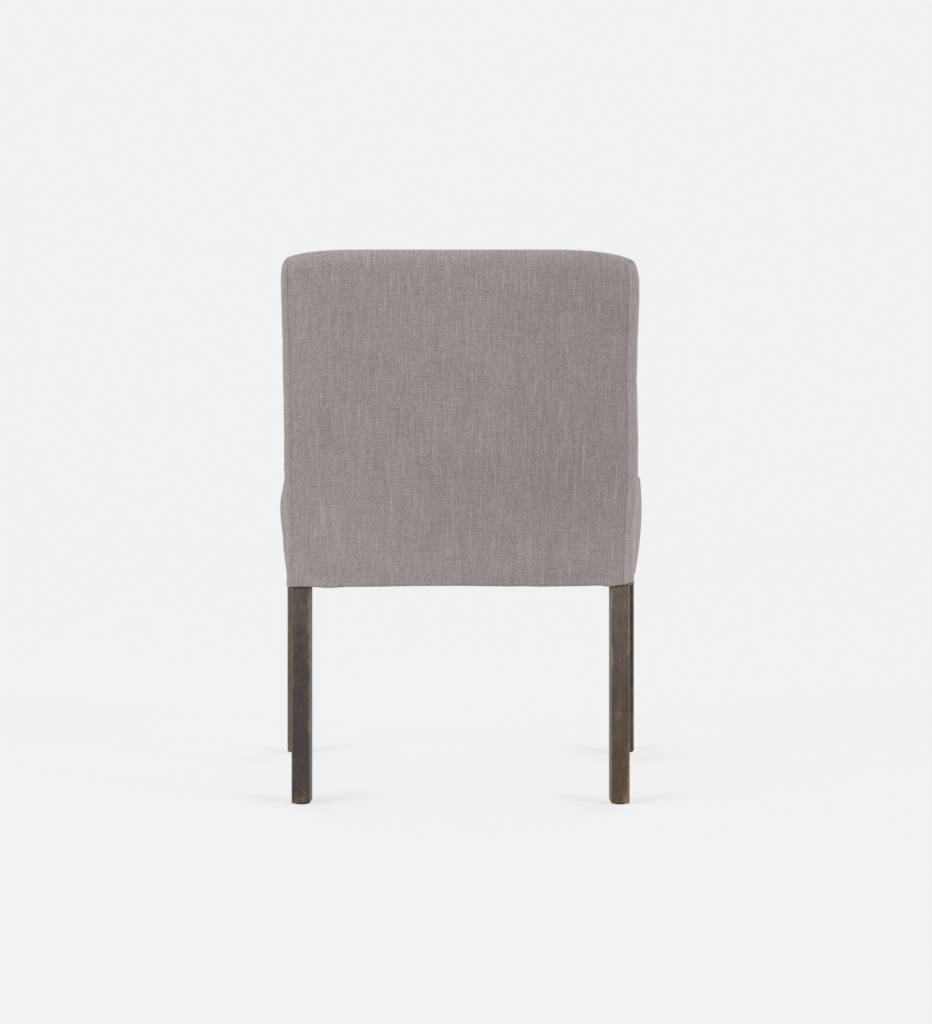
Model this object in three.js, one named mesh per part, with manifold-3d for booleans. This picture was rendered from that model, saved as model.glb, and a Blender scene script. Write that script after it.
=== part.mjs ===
// An armless parsons dining chair with a tight seat and back, in millimetres, +Z up, the sitter facing -Y.
// z = 0 is the floor. While the pieces are made, y = 0 is the plane of the rear legs' rear faces; the last
// lines move the whole chair so that the middle of its outline stands over the origin.
// Left and right are the sitter's, so left is +X.

import * as THREE from "three";
import { mergeVertices } from "three/addons/utils/BufferGeometryUtils.js";
import Module from "manifold-3d";

// Frame: legs and posts
const frameDepth = 489.6; // rear faces of the rear legs to front faces of the front legs
const rearSpread = 506.8; // over the rear legs' outer faces
const frontSpread = 630; // over the front legs' outer faces
const rearLegWidth = 28;
const rearLegDepth = 33;
const frontLegSize = 35;
const rearLegEase = 1.5; // flat on every long edge of a rear leg
const frontLegEase = 2.5;
const frontFootRadius = 5; // rounded lower corners of a front leg
const reclineDegrees = 10; // lean of the back above the seat rails

// Frame: rails
const hemHeight = 327; // lower edge of the covers
const railLift = 3; // seat rails' underside above the hem
const railHeight = 75;
const railThickness = 22;
const tenonLength = 14;
const tenonThickness = 10;
const tenonHeight = 50;
const crestRailHeight = 60;
const backRailLift = 60; // lower back rail above the bend of the posts, along the lean
const backRailHeight = 45;
const backRailThickness = 20;
const backTenonThickness = 12;
const backTenonShoulder = 9; // rail left above and below a back rail's tenon

// Corner blocks and their screws
const blockReach = 55; // along each rail from the leg
const blockHeight = 44;
const blockLift = 16; // above the rails' underside
const screwLength = 30;
const screwBite = 16; // into the rail
const screwShankRadius = 2;
const screwHeadRadius = 4;
const screwHeadHeight = 2.5;
const screwTip = 4;
const screwRise = 9; // above and below the block's middle
const screwPlaceShare = 0.55; // of the block's reach

// Glides
const glideThickness = 1.8;
const glideRadius = 12.2;
const glideRim = 0.6;
const nailRadius = 1.2;
const nailLength = 14;

// Webbing and sheets
const strapWidth = 60;
const strapThickness = 1.4;
const strapInset = 4; // from a rail's far edge to a strap's end
const deckThickness = 0.8;
const deckInset = 5;
const dustThickness = 0.8;
const dustInset = 8;
const boardThickness = 2.5; // stiff board behind the outside back
const boardDrop = 17; // below the posts' tops

// Covers and foam
const clothThickness = 1.2;
const clearance = 0.3;
const cutOverrun = 20;
const backHeight = 822; // top of the back above the floor
const backSidePadding = 7.6; // over the posts' outer faces, cloth included
const backFoamLow = 42; // over the posts' front faces at the seat, cloth included
const backFoamHigh = 28; // the same near the top
const backBelly = 5; // extra crown in the middle of the inside back
const backCornerRadius = 14;
const tuckCornerRadius = 3; // front corners of the back below the seat
const topRound = 30; // height of the rounded top edge
const topCornerRound = 12; // how far the top corners draw in
const crestDroop = 18.5; // top edge's fall from its flat middle to its corners
const crestFlatHalf = 145; // half length of the flat middle
const crestPadding = 18.5; // posts' tops below the drooped corners
const backFoamStart = 30; // foam slab's lower edge above the rails
const seatEdgeHeight = 500; // seam round the seat's top
const seatCrown = 16; // seat's middle above that seam
const hemSlack = 0.5;
const bandBulge = 11.5; // fullest swell of the seat's sides
const bandBlend = 150; // length in which the seat's sides leave the back's
const frontCrown = 4; // extra swell in the middle of the seat's front
const hemCornerRadius = 5;
const seatCornerRadius = 26;
const seatBackGap = 0.5;

// Shapes given as powers, counts and shares
const crownPower = 2.6; // squareness of the back's rounded top edge
const droopPower = 1.93;
const seatCrownPower = 6;
const seatEdgePower = 2.2;
const bulgeTurnShare = 0.72; // part of a half wave that the seat's side follows
const backRowShares = [0.2, 0.42, 0.64, 0.84]; // of the height from the seat's seam to the crown
const crownTurnShares = [0, 0.22, 0.45, 0.68, 0.87, 1]; // of a quarter turn over the top edge
const bandRowShares = [0, 0.15, 0.3]; // of the band's height, below the rails' tops
const foamRowShares = [0, 0.26, 0.52, 0.77, 1]; // from the rails' tops to the seam
const seatRingShares = [0.975, 0.94, 0.87, 0.7, 0.42, 0]; // of the seat's outline, towards its middle
const backAcrossShares = [-1, -0.93, -0.83, -0.71, -0.55, 0, 0.55, 0.71, 0.83, 0.93, 1];
const seatAcrossShares = [-0.75, -0.4, 0, 0.4, 0.75];
const seatSideShares = [0.15, 0.32, 0.55, 0.78, 1]; // from the front leg's rear face to the back
const lengthwiseStrapShares = [-0.62, 0, 0.62]; // of the rear opening's half width
const crosswiseStrapShares = [0.2, 0.5, 0.8]; // of the opening's depth
const uprightStrapShares = [-0.6, 0, 0.6];
const levelStrapShares = [0.33, 0.67]; // of the opening's height
const levelWidthShare = 0.27; // a level back strap's width, of the opening's height
const rampShare = 0.4; // of the free length between two crossings, in which a strap climbs over its neighbour
const samePlaceShare = 0.001; // of the clearance, under which two points are one
const arcSteps = 4;
const roundSides = 10;
const glideSides = 12;

// Worked out from the sizes above
const quarterTurn = Math.PI / 2;
const lean = THREE.MathUtils.degToRad(reclineDegrees);
const railBottom = hemHeight + railLift;
const railTop = railBottom + railHeight;
const railMiddle = railBottom + railHeight / 2;
const legBottom = glideThickness + clearance;
const rearOuter = rearSpread / 2;
const rearInner = rearOuter - rearLegWidth;
const frontOuter = frontSpread / 2;
const frontInner = frontOuter - frontLegSize;
const frontLegBack = -(frameDepth - frontLegSize);
const frontRailBack = -(frameDepth - railThickness);
const sideSlope = (frontOuter - rearOuter) / (-frontLegBack - rearLegDepth);
const sideTurn = Math.atan(sideSlope);
const postTop = backHeight - crestDroop - crestPadding;
const postDepth = rearLegDepth * Math.cos(lean); // square to the leaning faces
const postLength = (postTop - railTop) / Math.cos(lean); // along the lean, from the bend
const strapStep = (strapThickness + clearance) / 2;
const deckBottom = railTop + clearance + strapThickness / 2 + strapStep + strapThickness / 2 + clearance;
const foamBottom = deckBottom + deckThickness + clearance;
const rearPadding = clearance + boardThickness + clearance + clothThickness;
const backTuck = clearance + clothThickness + clearance;
const hemProud = clearance + clothThickness + hemSlack;
const backHalfWidth = rearOuter + backSidePadding;
const crownStart = backHeight - topRound;
const foamInset = clothThickness + clearance;
const strapStack = clearance + strapThickness + strapStep + clearance;

// The outer face of a side rail, and of the front leg that it runs into, at a place along the depth.
const sideOuter = (y) => Math.min(frontOuter, rearOuter + sideSlope * (-rearLegDepth - y));
const sideInner = (y) => sideOuter(y) - railThickness / Math.cos(sideTurn);
const leanAt = (z) => Math.max(0, z - railTop) * Math.tan(lean);
const mix = THREE.MathUtils.lerp;
const shareOf = (value, low, high) => THREE.MathUtils.clamp((value - low) / (high - low), 0, 1);

// Colours as the eye sees them, and how the surfaces take the light
const finishes = {
  cloth: { color: 0x968e8c, roughness: 0.95, metalness: 0 },
  stainedWood: { color: 0x564b44, roughness: 0.55, metalness: 0 },
  frameWood: { color: 0xc9a878, roughness: 0.75, metalness: 0 },
  foam: { color: 0xe9dfc3, roughness: 0.95, metalness: 0 },
  webbing: { color: 0x2f2b28, roughness: 0.9, metalness: 0 },
  deckCloth: { color: 0xb59a6d, roughness: 0.95, metalness: 0 },
  dustCloth: { color: 0x1c1c1d, roughness: 0.95, metalness: 0 },
  board: { color: 0x8a6b4a, roughness: 0.9, metalness: 0 },
  steel: { color: 0xb9b6ae, roughness: 0.35, metalness: 1 },
  nylon: { color: 0x2a2523, roughness: 0.5, metalness: 0 },
};

// Solids: closed geometries become solids that can be joined and cut, and turn back into geometries.
const wasm = await Module();
wasm.setup();

function solidOf(geometry) {
  const bare = geometry.clone();
  bare.deleteAttribute("normal");
  bare.deleteAttribute("uv");
  const merged = mergeVertices(bare);
  const vertProperties = merged.getAttribute("position").array;
  const triVerts = new Uint32Array(merged.index.array);
  return new wasm.Manifold(new wasm.Mesh({ numProp: 3, vertProperties, triVerts }));
}

function geometryOf(solid) {
  const mesh = solid.getMesh();
  const geometry = new THREE.BufferGeometry();
  geometry.setAttribute("position", new THREE.BufferAttribute(mesh.vertProperties, 3));
  geometry.setIndex(new THREE.BufferAttribute(mesh.triVerts, 1));
  geometry.computeVertexNormals();
  return geometry;
}

const joined = (first, ...rest) =>
  geometryOf(rest.reduce((solid, geometry) => solid.add(solidOf(geometry)), solidOf(first)));
const cutBy = (first, ...tools) =>
  geometryOf(tools.reduce((solid, geometry) => solid.subtract(solidOf(geometry)), solidOf(first)));

// A prism of an outline, run along one axis. Across x an outline is in (y, z), across y in (x, z).
const toX = new THREE.Vector3(1, 0, 0);
const toY = new THREE.Vector3(0, 1, 0);
const toZ = new THREE.Vector3(0, 0, 1);
const alongX = new THREE.Matrix4().makeBasis(toY, toZ, toX);
const alongY = new THREE.Matrix4().makeBasis(toX, toZ, toY.clone().negate());

function prism(outline, length, ease = 0) {
  const shape = new THREE.Shape(outline.map(([a, b]) => new THREE.Vector2(a, b)));
  const geometry = new THREE.ExtrudeGeometry(shape, {
    depth: length - 2 * ease,
    bevelEnabled: ease > 0,
    bevelThickness: ease,
    bevelSize: ease,
    bevelOffset: -ease,
    bevelSegments: 1,
  });
  return geometry.translate(0, 0, ease);
}

const prismX = (outline, low, high, ease) =>
  prism(outline, high - low, ease).applyMatrix4(alongX).translate(low, 0, 0);
const prismY = (outline, low, high, ease) =>
  prism(outline, high - low, ease).applyMatrix4(alongY).translate(0, high, 0);
const prismZ = (outline, low, high) => prism(outline, high - low).translate(0, 0, low);

const rectangle = (left, bottom, right, top) => [[left, bottom], [right, bottom], [right, top], [left, top]];
const boxAt = (low, high) => prismZ(rectangle(low[0], low[1], high[0], high[1]), low[2], high[2]);
const mirrored = (outline) => outline.map(([x, other]) => [-x, other]);

function arc(centreA, centreB, radiusA, radiusB, fromTurn, toTurn) {
  return Array.from({ length: arcSteps + 1 }, (_, i) => {
    const angle = quarterTurn * mix(fromTurn, toTurn, i / arcSteps);
    return [centreA + radiusA * Math.cos(angle), centreB + radiusB * Math.sin(angle)];
  });
}

const chair = new THREE.Group();
const leaning = new THREE.Group(); // its z runs up the posts' rear faces from the bend, its y to the rear
leaning.position.z = railTop;
leaning.rotation.x = -lean;
leaning.updateMatrix();
chair.add(leaning);

function addPiece(name, geometry, finish, group = chair) {
  const mesh = new THREE.Mesh(geometry, new THREE.MeshStandardMaterial(finishes[finish]));
  mesh.name = name;
  group.add(mesh);
  return mesh;
}

const sides = [["left", 1], ["right", -1]];

// Tenons and the mortises that take them, widened by the clearance

const widen = (box, by) => [box[0].map((v) => v - by), box[1].map((v) => v + by)];

// A tenon that runs right through a cross rail and out of both its ends.
function crossTenon(innerX, length, middleY, thickness, lowZ, highZ) {
  const reach = innerX + length;
  return [[-reach, middleY - thickness / 2, lowZ], [reach, middleY + thickness / 2, highZ]];
}

const tenonLow = railMiddle - tenonHeight / 2;
const tenonHigh = railMiddle + tenonHeight / 2;
const frontRailMiddle = frontRailBack - railThickness / 2;
const frontTenon = crossTenon(frontInner, tenonLength, frontRailMiddle, tenonThickness, tenonLow, tenonHigh);
const rearTenon = crossTenon(rearInner, tenonLength, -railThickness / 2, tenonThickness, tenonLow, tenonHigh);

// A strip of a side rail in plan: between two depths, and from one distance inside its outer face to another.
function sideStrip(side, frontY, rearY, outerInset, innerInset) {
  const slant = 1 / Math.cos(sideTurn);
  const xAt = (y, inset) => rearOuter + sideSlope * (-rearLegDepth - y) - inset * slant;
  const corners = [
    [xAt(frontY, outerInset), frontY],
    [xAt(rearY, outerInset), rearY],
    [xAt(rearY, innerInset), rearY],
    [xAt(frontY, innerInset), frontY],
  ];
  return corners.map(([x, y]) => [side * x, y]);
}

function sideTenon(side, loose) {
  const inset = (railThickness - tenonThickness) / 2;
  const front = frontLegBack - tenonLength - loose;
  const rear = -rearLegDepth + tenonLength + loose;
  const plan = sideStrip(side, front, rear, inset - loose, railThickness - inset + loose);
  return prismZ(plan, tenonLow - loose, tenonHigh + loose);
}

// Back rails, placed in the leaning group

const crestLow = postLength - crestRailHeight;
const crestTenon = crossTenon(rearInner, tenonLength, -postDepth / 2, backTenonThickness,
  crestLow + backTenonShoulder, postLength - backTenonShoulder);
const backRailMiddle = -postDepth + backRailThickness / 2;
const lowerTenon = crossTenon(rearInner, tenonLength, backRailMiddle, backTenonThickness,
  backRailLift + backTenonShoulder, backRailLift + backRailHeight - backTenonShoulder);
const inLeaning = (geometry) => geometry.applyMatrix4(leaning.matrix);

// Glides and the nail holes above them

function glideProfile() {
  const disc = [[0, 0], [glideRadius - glideRim, 0], [glideRadius, glideRim], [glideRadius, glideThickness]];
  const nail = [[nailRadius, glideThickness], [nailRadius, nailLength], [0, nailLength]];
  return [...disc, ...nail].map(([r, z]) => new THREE.Vector2(r, z));
}

function addGlide(name, x, y) {
  const glide = addPiece(name, new THREE.LatheGeometry(glideProfile(), glideSides), "nylon");
  glide.rotation.x = quarterTurn;
  glide.position.set(x, y, 0);
}

function nailHole(x, y) {
  const radius = nailRadius + clearance;
  const length = nailLength + clearance;
  const hole = new THREE.CylinderGeometry(radius, radius, length, glideSides);
  return hole.rotateX(quarterTurn).translate(x, y, length / 2);
}

// Rear legs run on as the back's posts, bent to the lean at the seat rails' tops.
function addRearPosts() {
  const topY = leanAt(postTop);
  const outline = [
    [-rearLegEase, legBottom],
    [0, legBottom + rearLegEase],
    [0, railTop],
    [topY, postTop],
    [topY - rearLegDepth, postTop],
    [-rearLegDepth, railTop],
    [-rearLegDepth, legBottom + rearLegEase],
    [rearLegEase - rearLegDepth, legBottom],
  ];
  for (const [label, side] of sides) {
    const low = side > 0 ? rearInner : -rearOuter;
    const middle = [side * (rearOuter - rearLegWidth / 2), -rearLegDepth / 2];
    const mortises = [
      boxAt(...widen(rearTenon, clearance)),
      sideTenon(side, clearance),
      inLeaning(boxAt(...widen(crestTenon, clearance))),
      inLeaning(boxAt(...widen(lowerTenon, clearance))),
    ];
    const post = prismX(outline, low, low + rearLegWidth, rearLegEase);
    addPiece("rear_post_" + label, cutBy(post, ...mortises, nailHole(...middle)), "stainedWood");
    addGlide("glide_rear_" + label, ...middle);
  }
}

function addFrontLegs() {
  for (const [label, side] of sides) {
    const [low, high] = side > 0 ? [frontInner, frontOuter] : [-frontOuter, -frontInner];
    const outline = [
      ...arc(low + frontFootRadius, legBottom + frontFootRadius, frontFootRadius, frontFootRadius, 2, 3),
      ...arc(high - frontFootRadius, legBottom + frontFootRadius, frontFootRadius, frontFootRadius, 3, 4),
      [high, railTop],
      [low, railTop],
    ];
    const middle = [(low + high) / 2, frontLegBack - frontLegSize / 2];
    const leg = prismY(outline, -frameDepth, frontLegBack, frontLegEase);
    const cuts = [boxAt(...widen(frontTenon, clearance)), sideTenon(side, clearance), nailHole(...middle)];
    addPiece("front_leg_" + label, cutBy(leg, ...cuts), "stainedWood");
    addGlide("glide_front_" + label, ...middle);
  }
}

// Screws through the corner blocks: one into the cross rail and one into the side rail at each corner.
const screwOffset = screwLength - screwBite;
const blockMiddle = railBottom + blockLift + blockHeight / 2;
const corners = [
  ["front", frontInner, frontLegBack, frontRailBack, -1],
  ["rear", rearInner, -rearLegDepth, -railThickness, 1],
];

function screwPlaces(side, legX, legY, railY, towards) {
  const x = side * (legX - blockReach * screwPlaceShare);
  const y = legY - towards * blockReach * screwPlaceShare;
  const outwards = new THREE.Vector3(side * Math.cos(sideTurn), Math.sin(sideTurn), 0);
  const seat = new THREE.Vector3(side * sideInner(y), y, blockMiddle - screwRise);
  return [
    ["cross", new THREE.Vector3(x, railY - towards * screwOffset, blockMiddle + screwRise),
      new THREE.Vector3(0, towards, 0)],
    ["side", seat.addScaledVector(outwards, -screwOffset), outwards],
  ];
}

function screwGeometry() {
  const profile = [
    [0, 0],
    [screwHeadRadius, 0],
    [screwShankRadius, screwHeadHeight],
    [screwShankRadius, screwLength - screwTip],
    [0, screwLength],
  ];
  return new THREE.LatheGeometry(profile.map(([r, y]) => new THREE.Vector2(r, y)), roundSides);
}

function screwHoles(place, direction) {
  const turn = new THREE.Quaternion().setFromUnitVectors(toY, direction);
  const holeAt = (radius, from, to) =>
    new THREE.CylinderGeometry(radius, radius, to - from, roundSides)
      .translate(0, (from + to) / 2, 0)
      .applyQuaternion(turn)
      .translate(place.x, place.y, place.z);
  return [
    holeAt(screwShankRadius + clearance, 0, screwLength + clearance),
    holeAt(screwHeadRadius + clearance, -cutOverrun, screwHeadHeight + clearance),
  ];
}

// Every screw's holes, kept by the piece that they go into.
const holes = { front_rail: [], rear_rail: [], side_rail_left: [], side_rail_right: [] };

function addCornerBlocks() {
  for (const [end, legX, legY, railY, towards] of corners)
    for (const [label, side] of sides) {
      const nearLeg = legY - towards * clearance;
      const farSide = legY - towards * blockReach;
      const plan = [
        [legX - clearance, railY - towards * clearance],
        [legX - blockReach, railY - towards * clearance],
        [sideInner(farSide) - clearance, farSide],
        [sideInner(nearLeg) - clearance, nearLeg],
        [legX - clearance, nearLeg],
      ].map(([x, y]) => [side * x, y]);
      const low = railBottom + blockLift;
      const name = end + "_" + label;
      const cuts = [];
      for (const [rail, place, direction] of screwPlaces(side, legX, legY, railY, towards)) {
        const screw = addPiece("block_screw_" + name + "_" + rail, screwGeometry(), "steel");
        screw.position.copy(place);
        screw.quaternion.setFromUnitVectors(toY, direction);
        const made = screwHoles(place, direction);
        cuts.push(...made);
        holes[rail === "cross" ? end + "_rail" : "side_rail_" + label].push(made[0]);
      }
      const block = prismZ(plan, low, low + blockHeight);
      addPiece("corner_block_" + name, cutBy(block, ...cuts), "frameWood");
    }
}

function addSeatRails() {
  const rail = (halfLength, low, high) => boxAt([-halfLength, low, railBottom], [halfLength, high, railTop]);
  const frontBody = rail(frontInner - clearance, -frameDepth, frontRailBack);
  const rearBody = rail(rearInner - clearance, -railThickness, 0);
  const withHoles = (name, ...bodies) =>
    addPiece(name, cutBy(joined(...bodies), ...holes[name]), "frameWood");
  withHoles("front_rail", frontBody, boxAt(...frontTenon));
  withHoles("rear_rail", rearBody, boxAt(...rearTenon));
  for (const [label, side] of sides) {
    const plan = sideStrip(side, frontLegBack + clearance, -rearLegDepth - clearance, 0, railThickness);
    withHoles("side_rail_" + label, prismZ(plan, railBottom, railTop), sideTenon(side, 0));
  }
}

// The crest rail's top edge is arched to follow the crown of the back.
function crestOutline() {
  const half = rearInner - clearance;
  return [[-half, crestLow], [half, crestLow], ...arc(0, postLength, half, crestDroop, 0, 2)];
}

function addBackRails() {
  const crest = prismY(crestOutline(), -postDepth, 0);
  addPiece("crest_rail", joined(crest, boxAt(...crestTenon)), "frameWood", leaning);
  const half = rearInner - clearance;
  const low = [-half, -postDepth, backRailLift];
  const high = [half, backRailThickness - postDepth, backRailLift + backRailHeight];
  addPiece("lower_back_rail", joined(boxAt(low, high), boxAt(...lowerTenon)), "frameWood", leaning);
}

// A strap seen from its edge: level at its ends, over one neighbour and under the next.
function strapOutline(from, to, base, crossings, crossingWidth, firstOver) {
  const line = [[from, base]];
  const flat = crossingWidth / 2 + clearance;
  const ramp = (crossings[1] - crossings[0] - 2 * flat) * rampShare;
  crossings.forEach((place, i) => {
    const level = base + ((i + firstOver) % 2 ? -strapStep : strapStep);
    const ramps = [[-flat - ramp, base], [-flat, level], [flat, level], [flat + ramp, base]];
    line.push(...ramps.map(([along, height]) => [place + along, height]));
  });
  line.push([to, base]);
  const half = strapThickness / 2;
  const under = line.map(([along, height]) => [along, height - half]);
  const over = line.map(([along, height]) => [along, height + half]).reverse();
  return [...under, ...over];
}

function addSeatWebbing() {
  const base = railTop + clearance + strapThickness / 2;
  const xs = lengthwiseStrapShares.map((share) => share * rearInner);
  const ys = crosswiseStrapShares.map((share) => mix(-railThickness, frontRailBack, share));
  const rearToFront = [...ys].reverse();
  xs.forEach((x, i) => {
    const outline = strapOutline(strapInset - frameDepth, -strapInset, base, rearToFront, strapWidth, i);
    const strap = prismX(outline, x - strapWidth / 2, x + strapWidth / 2);
    addPiece("seat_strap_lengthwise_" + (i + 1), strap, "webbing");
  });
  rearToFront.forEach((y, i) => {
    const half = sideOuter(y + strapWidth / 2) - strapInset;
    const outline = strapOutline(-half, half, base, xs, strapWidth, i + 1);
    const strap = prismY(outline, y - strapWidth / 2, y + strapWidth / 2);
    addPiece("seat_strap_crosswise_" + (i + 1), strap, "webbing");
  });
}

function addBackWebbing() {
  const base = -(postDepth + clearance + strapThickness / 2);
  const low = backRailLift + strapInset;
  const high = postLength - strapInset;
  const xs = uprightStrapShares.map((share) => share * rearInner);
  const openLow = backRailLift + backRailHeight;
  const levelWidth = (crestLow - openLow) * levelWidthShare;
  const zs = levelStrapShares.map((share) => mix(openLow, crestLow, share));
  const swapped = (outline) => outline.map(([along, height]) => [height, along]);
  xs.forEach((x, i) => {
    const outline = swapped(strapOutline(low, high, base, zs, levelWidth, i));
    const strap = prismX(outline, x - strapWidth / 2, x + strapWidth / 2);
    addPiece("back_strap_upright_" + (i + 1), strap, "webbing", leaning);
  });
  zs.forEach((z, i) => {
    const half = rearOuter - strapInset;
    const outline = strapOutline(-half, half, base, xs, strapWidth, i + 1);
    const strap = prismZ(outline, z - levelWidth / 2, z + levelWidth / 2);
    addPiece("back_strap_level_" + (i + 1), strap, "webbing", leaning);
  });
}

// Flat sheets in plan, notched round the legs that pass them.
function sheetPlan(inset, frontNotched) {
  const gap = clearance + inset / 2;
  const front = frontNotched
    ? [[sideOuter(frontLegBack) - inset, frontLegBack + gap], [frontInner - gap, frontLegBack + gap],
      [frontInner - gap, inset - frameDepth]]
    : [[frontOuter - inset, frontLegBack], [frontOuter - inset, inset - frameDepth]];
  const half = [
    [rearInner - gap, -inset],
    [rearInner - gap, -rearLegDepth - gap],
    [sideOuter(-rearLegDepth - gap) - inset, -rearLegDepth - gap],
    ...front,
  ];
  return [...half, ...mirrored(half).reverse()];
}

function addSheets() {
  const deck = prismZ(sheetPlan(deckInset, false), deckBottom, deckBottom + deckThickness);
  addPiece("seat_deck_cloth", deck, "deckCloth");
  const dustTop = railBottom - clearance;
  addPiece("dust_cover", prismZ(sheetPlan(dustInset, true), dustTop - dustThickness, dustTop), "dustCloth");
  const boardTop = postTop - boardDrop;
  const near = clearance;
  const far = clearance + boardThickness;
  const outline = [
    [near, railBottom], [far, railBottom], [far, railTop], [far + leanAt(boardTop), boardTop],
    [near + leanAt(boardTop), boardTop], [near, railTop],
  ];
  const half = backHalfWidth - backCornerRadius;
  addPiece("outside_back_board", prismX(outline, -half, half), "board");
}

// Padded forms are rows of points, each row a closed ring that runs anticlockwise as seen from above.

const samePlace = clearance * samePlaceShare;

function addTriangle(list, a, b, c) {
  const flat = [[a, b], [b, c], [c, a]].some(([p, q]) => p.distanceTo(q) < samePlace);
  if (!flat) list.push(...a.toArray(), ...b.toArray(), ...c.toArray());
}

function addSkin(list, rows, inwards) {
  for (let k = 1; k < rows.length; k += 1)
    rows[k].forEach((above, i) => {
      const next = (i + 1) % rows[k].length;
      const [a, c] = [rows[k - 1][i], rows[k][next]];
      const [b, d] = inwards ? [above, rows[k - 1][next]] : [rows[k - 1][next], above];
      addTriangle(list, a, b, c);
      addTriangle(list, a, c, d);
    });
}

function geometryFrom(list) {
  const geometry = new THREE.BufferGeometry();
  geometry.setAttribute("position", new THREE.Float32BufferAttribute(list, 3));
  return mergeVertices(geometry);
}

// A cover: an outer and an inner skin, joined by a rim round the open lower edge.
function coverFrom(outerRows, innerRows) {
  const list = [];
  addSkin(list, outerRows, false);
  addSkin(list, innerRows, true);
  addSkin(list, [outerRows[0], innerRows[0]], true);
  return geometryFrom(list);
}

// A pad: one skin closed by a flat underside.
function padFrom(rows) {
  const list = [];
  addSkin(list, rows, false);
  const middle = rows[0].reduce((sum, p) => sum.add(p), new THREE.Vector3()).divideScalar(rows[0].length);
  addSkin(list, [rows[0].map(() => middle), rows[0]], false);
  return geometryFrom(list);
}

// Over the posts' front faces: tucked in below the seat, fullest at its edge and thinner towards the top.
function backPadAt(height) {
  const tuck = shareOf(height, railTop, seatEdgeHeight);
  const rise = shareOf(height, seatEdgeHeight, crownStart);
  return mix(backTuck, mix(backFoamLow, backFoamHigh, rise), tuck);
}

function crestDroopAt(x) {
  const past = Math.max(0, Math.abs(x) - crestFlatHalf) / (backHalfWidth - crestFlatHalf);
  return crestDroop * past ** droopPower;
}

// One ring of the back at a height, drawn in by an inset; turn runs from 0 to 1 over the rounded top edge.
function backRow(height, turn, inset) {
  const angle = turn * quarterTurn;
  const narrow = turn < 1 ? Math.cos(angle) ** (2 / crownPower) : 0;
  const climb = (topRound - inset) * Math.sin(angle) ** (2 / crownPower);
  const width = backHalfWidth - inset - topCornerRound * (1 - Math.cos(angle));
  const rise = shareOf(height, seatEdgeHeight, crownStart);
  const tuck = shareOf(height, railTop, seatEdgeHeight);
  const rear = rearPadding - inset;
  const front = inset - rearLegDepth - backPadAt(height);
  const middle = (rear + front) / 2;
  const half = (rear - front) / 2;
  const belly = backBelly * Math.sin(Math.PI * rise);
  const rearRadius = backCornerRadius - inset;
  const frontRadius = mix(tuckCornerRadius, backCornerRadius, tuck) - inset;
  const ring = [
    ...arc(width - rearRadius, half - rearRadius, rearRadius, rearRadius, 0, 1).slice(0, -1),
    ...backAcrossShares.map((share) => [-share * (width - rearRadius), half]),
    ...arc(rearRadius - width, half - rearRadius, rearRadius, rearRadius, 1, 2).slice(1),
    ...arc(frontRadius - width, frontRadius - half, frontRadius, frontRadius, 2, 3).slice(0, -1),
    ...backAcrossShares.map((share) => [share * (width - frontRadius), -half - belly * (1 - share ** 2)]),
    ...arc(width - frontRadius, frontRadius - half, frontRadius, frontRadius, 3, 4).slice(1),
  ];
  return ring.map(([x, depth]) => {
    const z = height - rise * crestDroopAt(x) + climb;
    return new THREE.Vector3(x, middle + depth * narrow + leanAt(z), z);
  });
}

function backRows(lowest, inset) {
  return [
    backRow(lowest, 0, inset),
    backRow(railTop, 0, inset),
    backRow(seatEdgeHeight, 0, inset),
    ...backRowShares.map((share) => backRow(mix(seatEdgeHeight, crownStart, share), 0, inset)),
    ...crownTurnShares.map((turn) => backRow(crownStart, turn, inset)),
  ];
}

// The seat's side and front stand proud of the rails by this much: least at the hem, fullest in the foam.
function bandProud(height) {
  const share = shareOf(height, hemHeight, seatEdgeHeight);
  return hemProud + bandBulge * Math.sin(Math.PI * bulgeTurnShare * share);
}

// One ring of the seat at a height, drawn in by an inset; across is 1 at the seam and 0 in the seat's middle.
function seatRow(height, across, inset) {
  const proud = bandProud(height);
  const share = shareOf(height, hemHeight, seatEdgeHeight);
  const radius = mix(hemCornerRadius, seatCornerRadius, share ** 2) - inset;
  const front = inset - frameDepth - proud;
  const rear = leanAt(height) - rearLegDepth - backPadAt(height) - seatBackGap - inset;
  const frontWidth = frontOuter + proud - inset;
  const sideAt = (y) => {
    const padding = mix(backSidePadding, proud, shareOf(-y, -rear, bandBlend - rear));
    return [sideOuter(y) + padding - inset, y];
  };
  const right = [front + radius, frontLegBack, ...seatSideShares.map((s) => mix(frontLegBack, rear, s))];
  const side = right.map(sideAt);
  const rearWidth = side[side.length - 1][0];
  const flat = frontWidth - radius;
  const crowned = (s) => front - frontCrown * (1 - s ** 2);
  const corner = arc(flat, front + radius, radius, radius, 3, 4).slice(0, -1);
  const ring = [
    ...side,
    ...seatAcrossShares.map((s) => [-s * rearWidth, rear]),
    ...mirrored(side).reverse(),
    ...mirrored(corner).reverse(),
    ...seatAcrossShares.map((s) => [s * flat, crowned(s)]),
    ...corner,
  ];
  const climb = across < 1 ? seatCrown * (1 - across ** seatCrownPower) ** (1 / seatEdgePower) - inset : 0;
  const middleY = (front + rear) / 2;
  return ring.map(([x, y]) => new THREE.Vector3(x * across, mix(middleY, y, across), height + climb));
}

const seatFoamHeights = foamRowShares.map((share) => mix(railTop, seatEdgeHeight, share));
const seatTopRows = (inset) => seatRingShares.map((across) => seatRow(seatEdgeHeight, across, inset));

function seatRows(inset) {
  const low = bandRowShares.map((share) => seatRow(mix(hemHeight, seatEdgeHeight, share), 1, inset));
  return [...low, ...seatFoamHeights.map((height) => seatRow(height, 1, inset)), ...seatTopRows(inset)];
}

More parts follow.
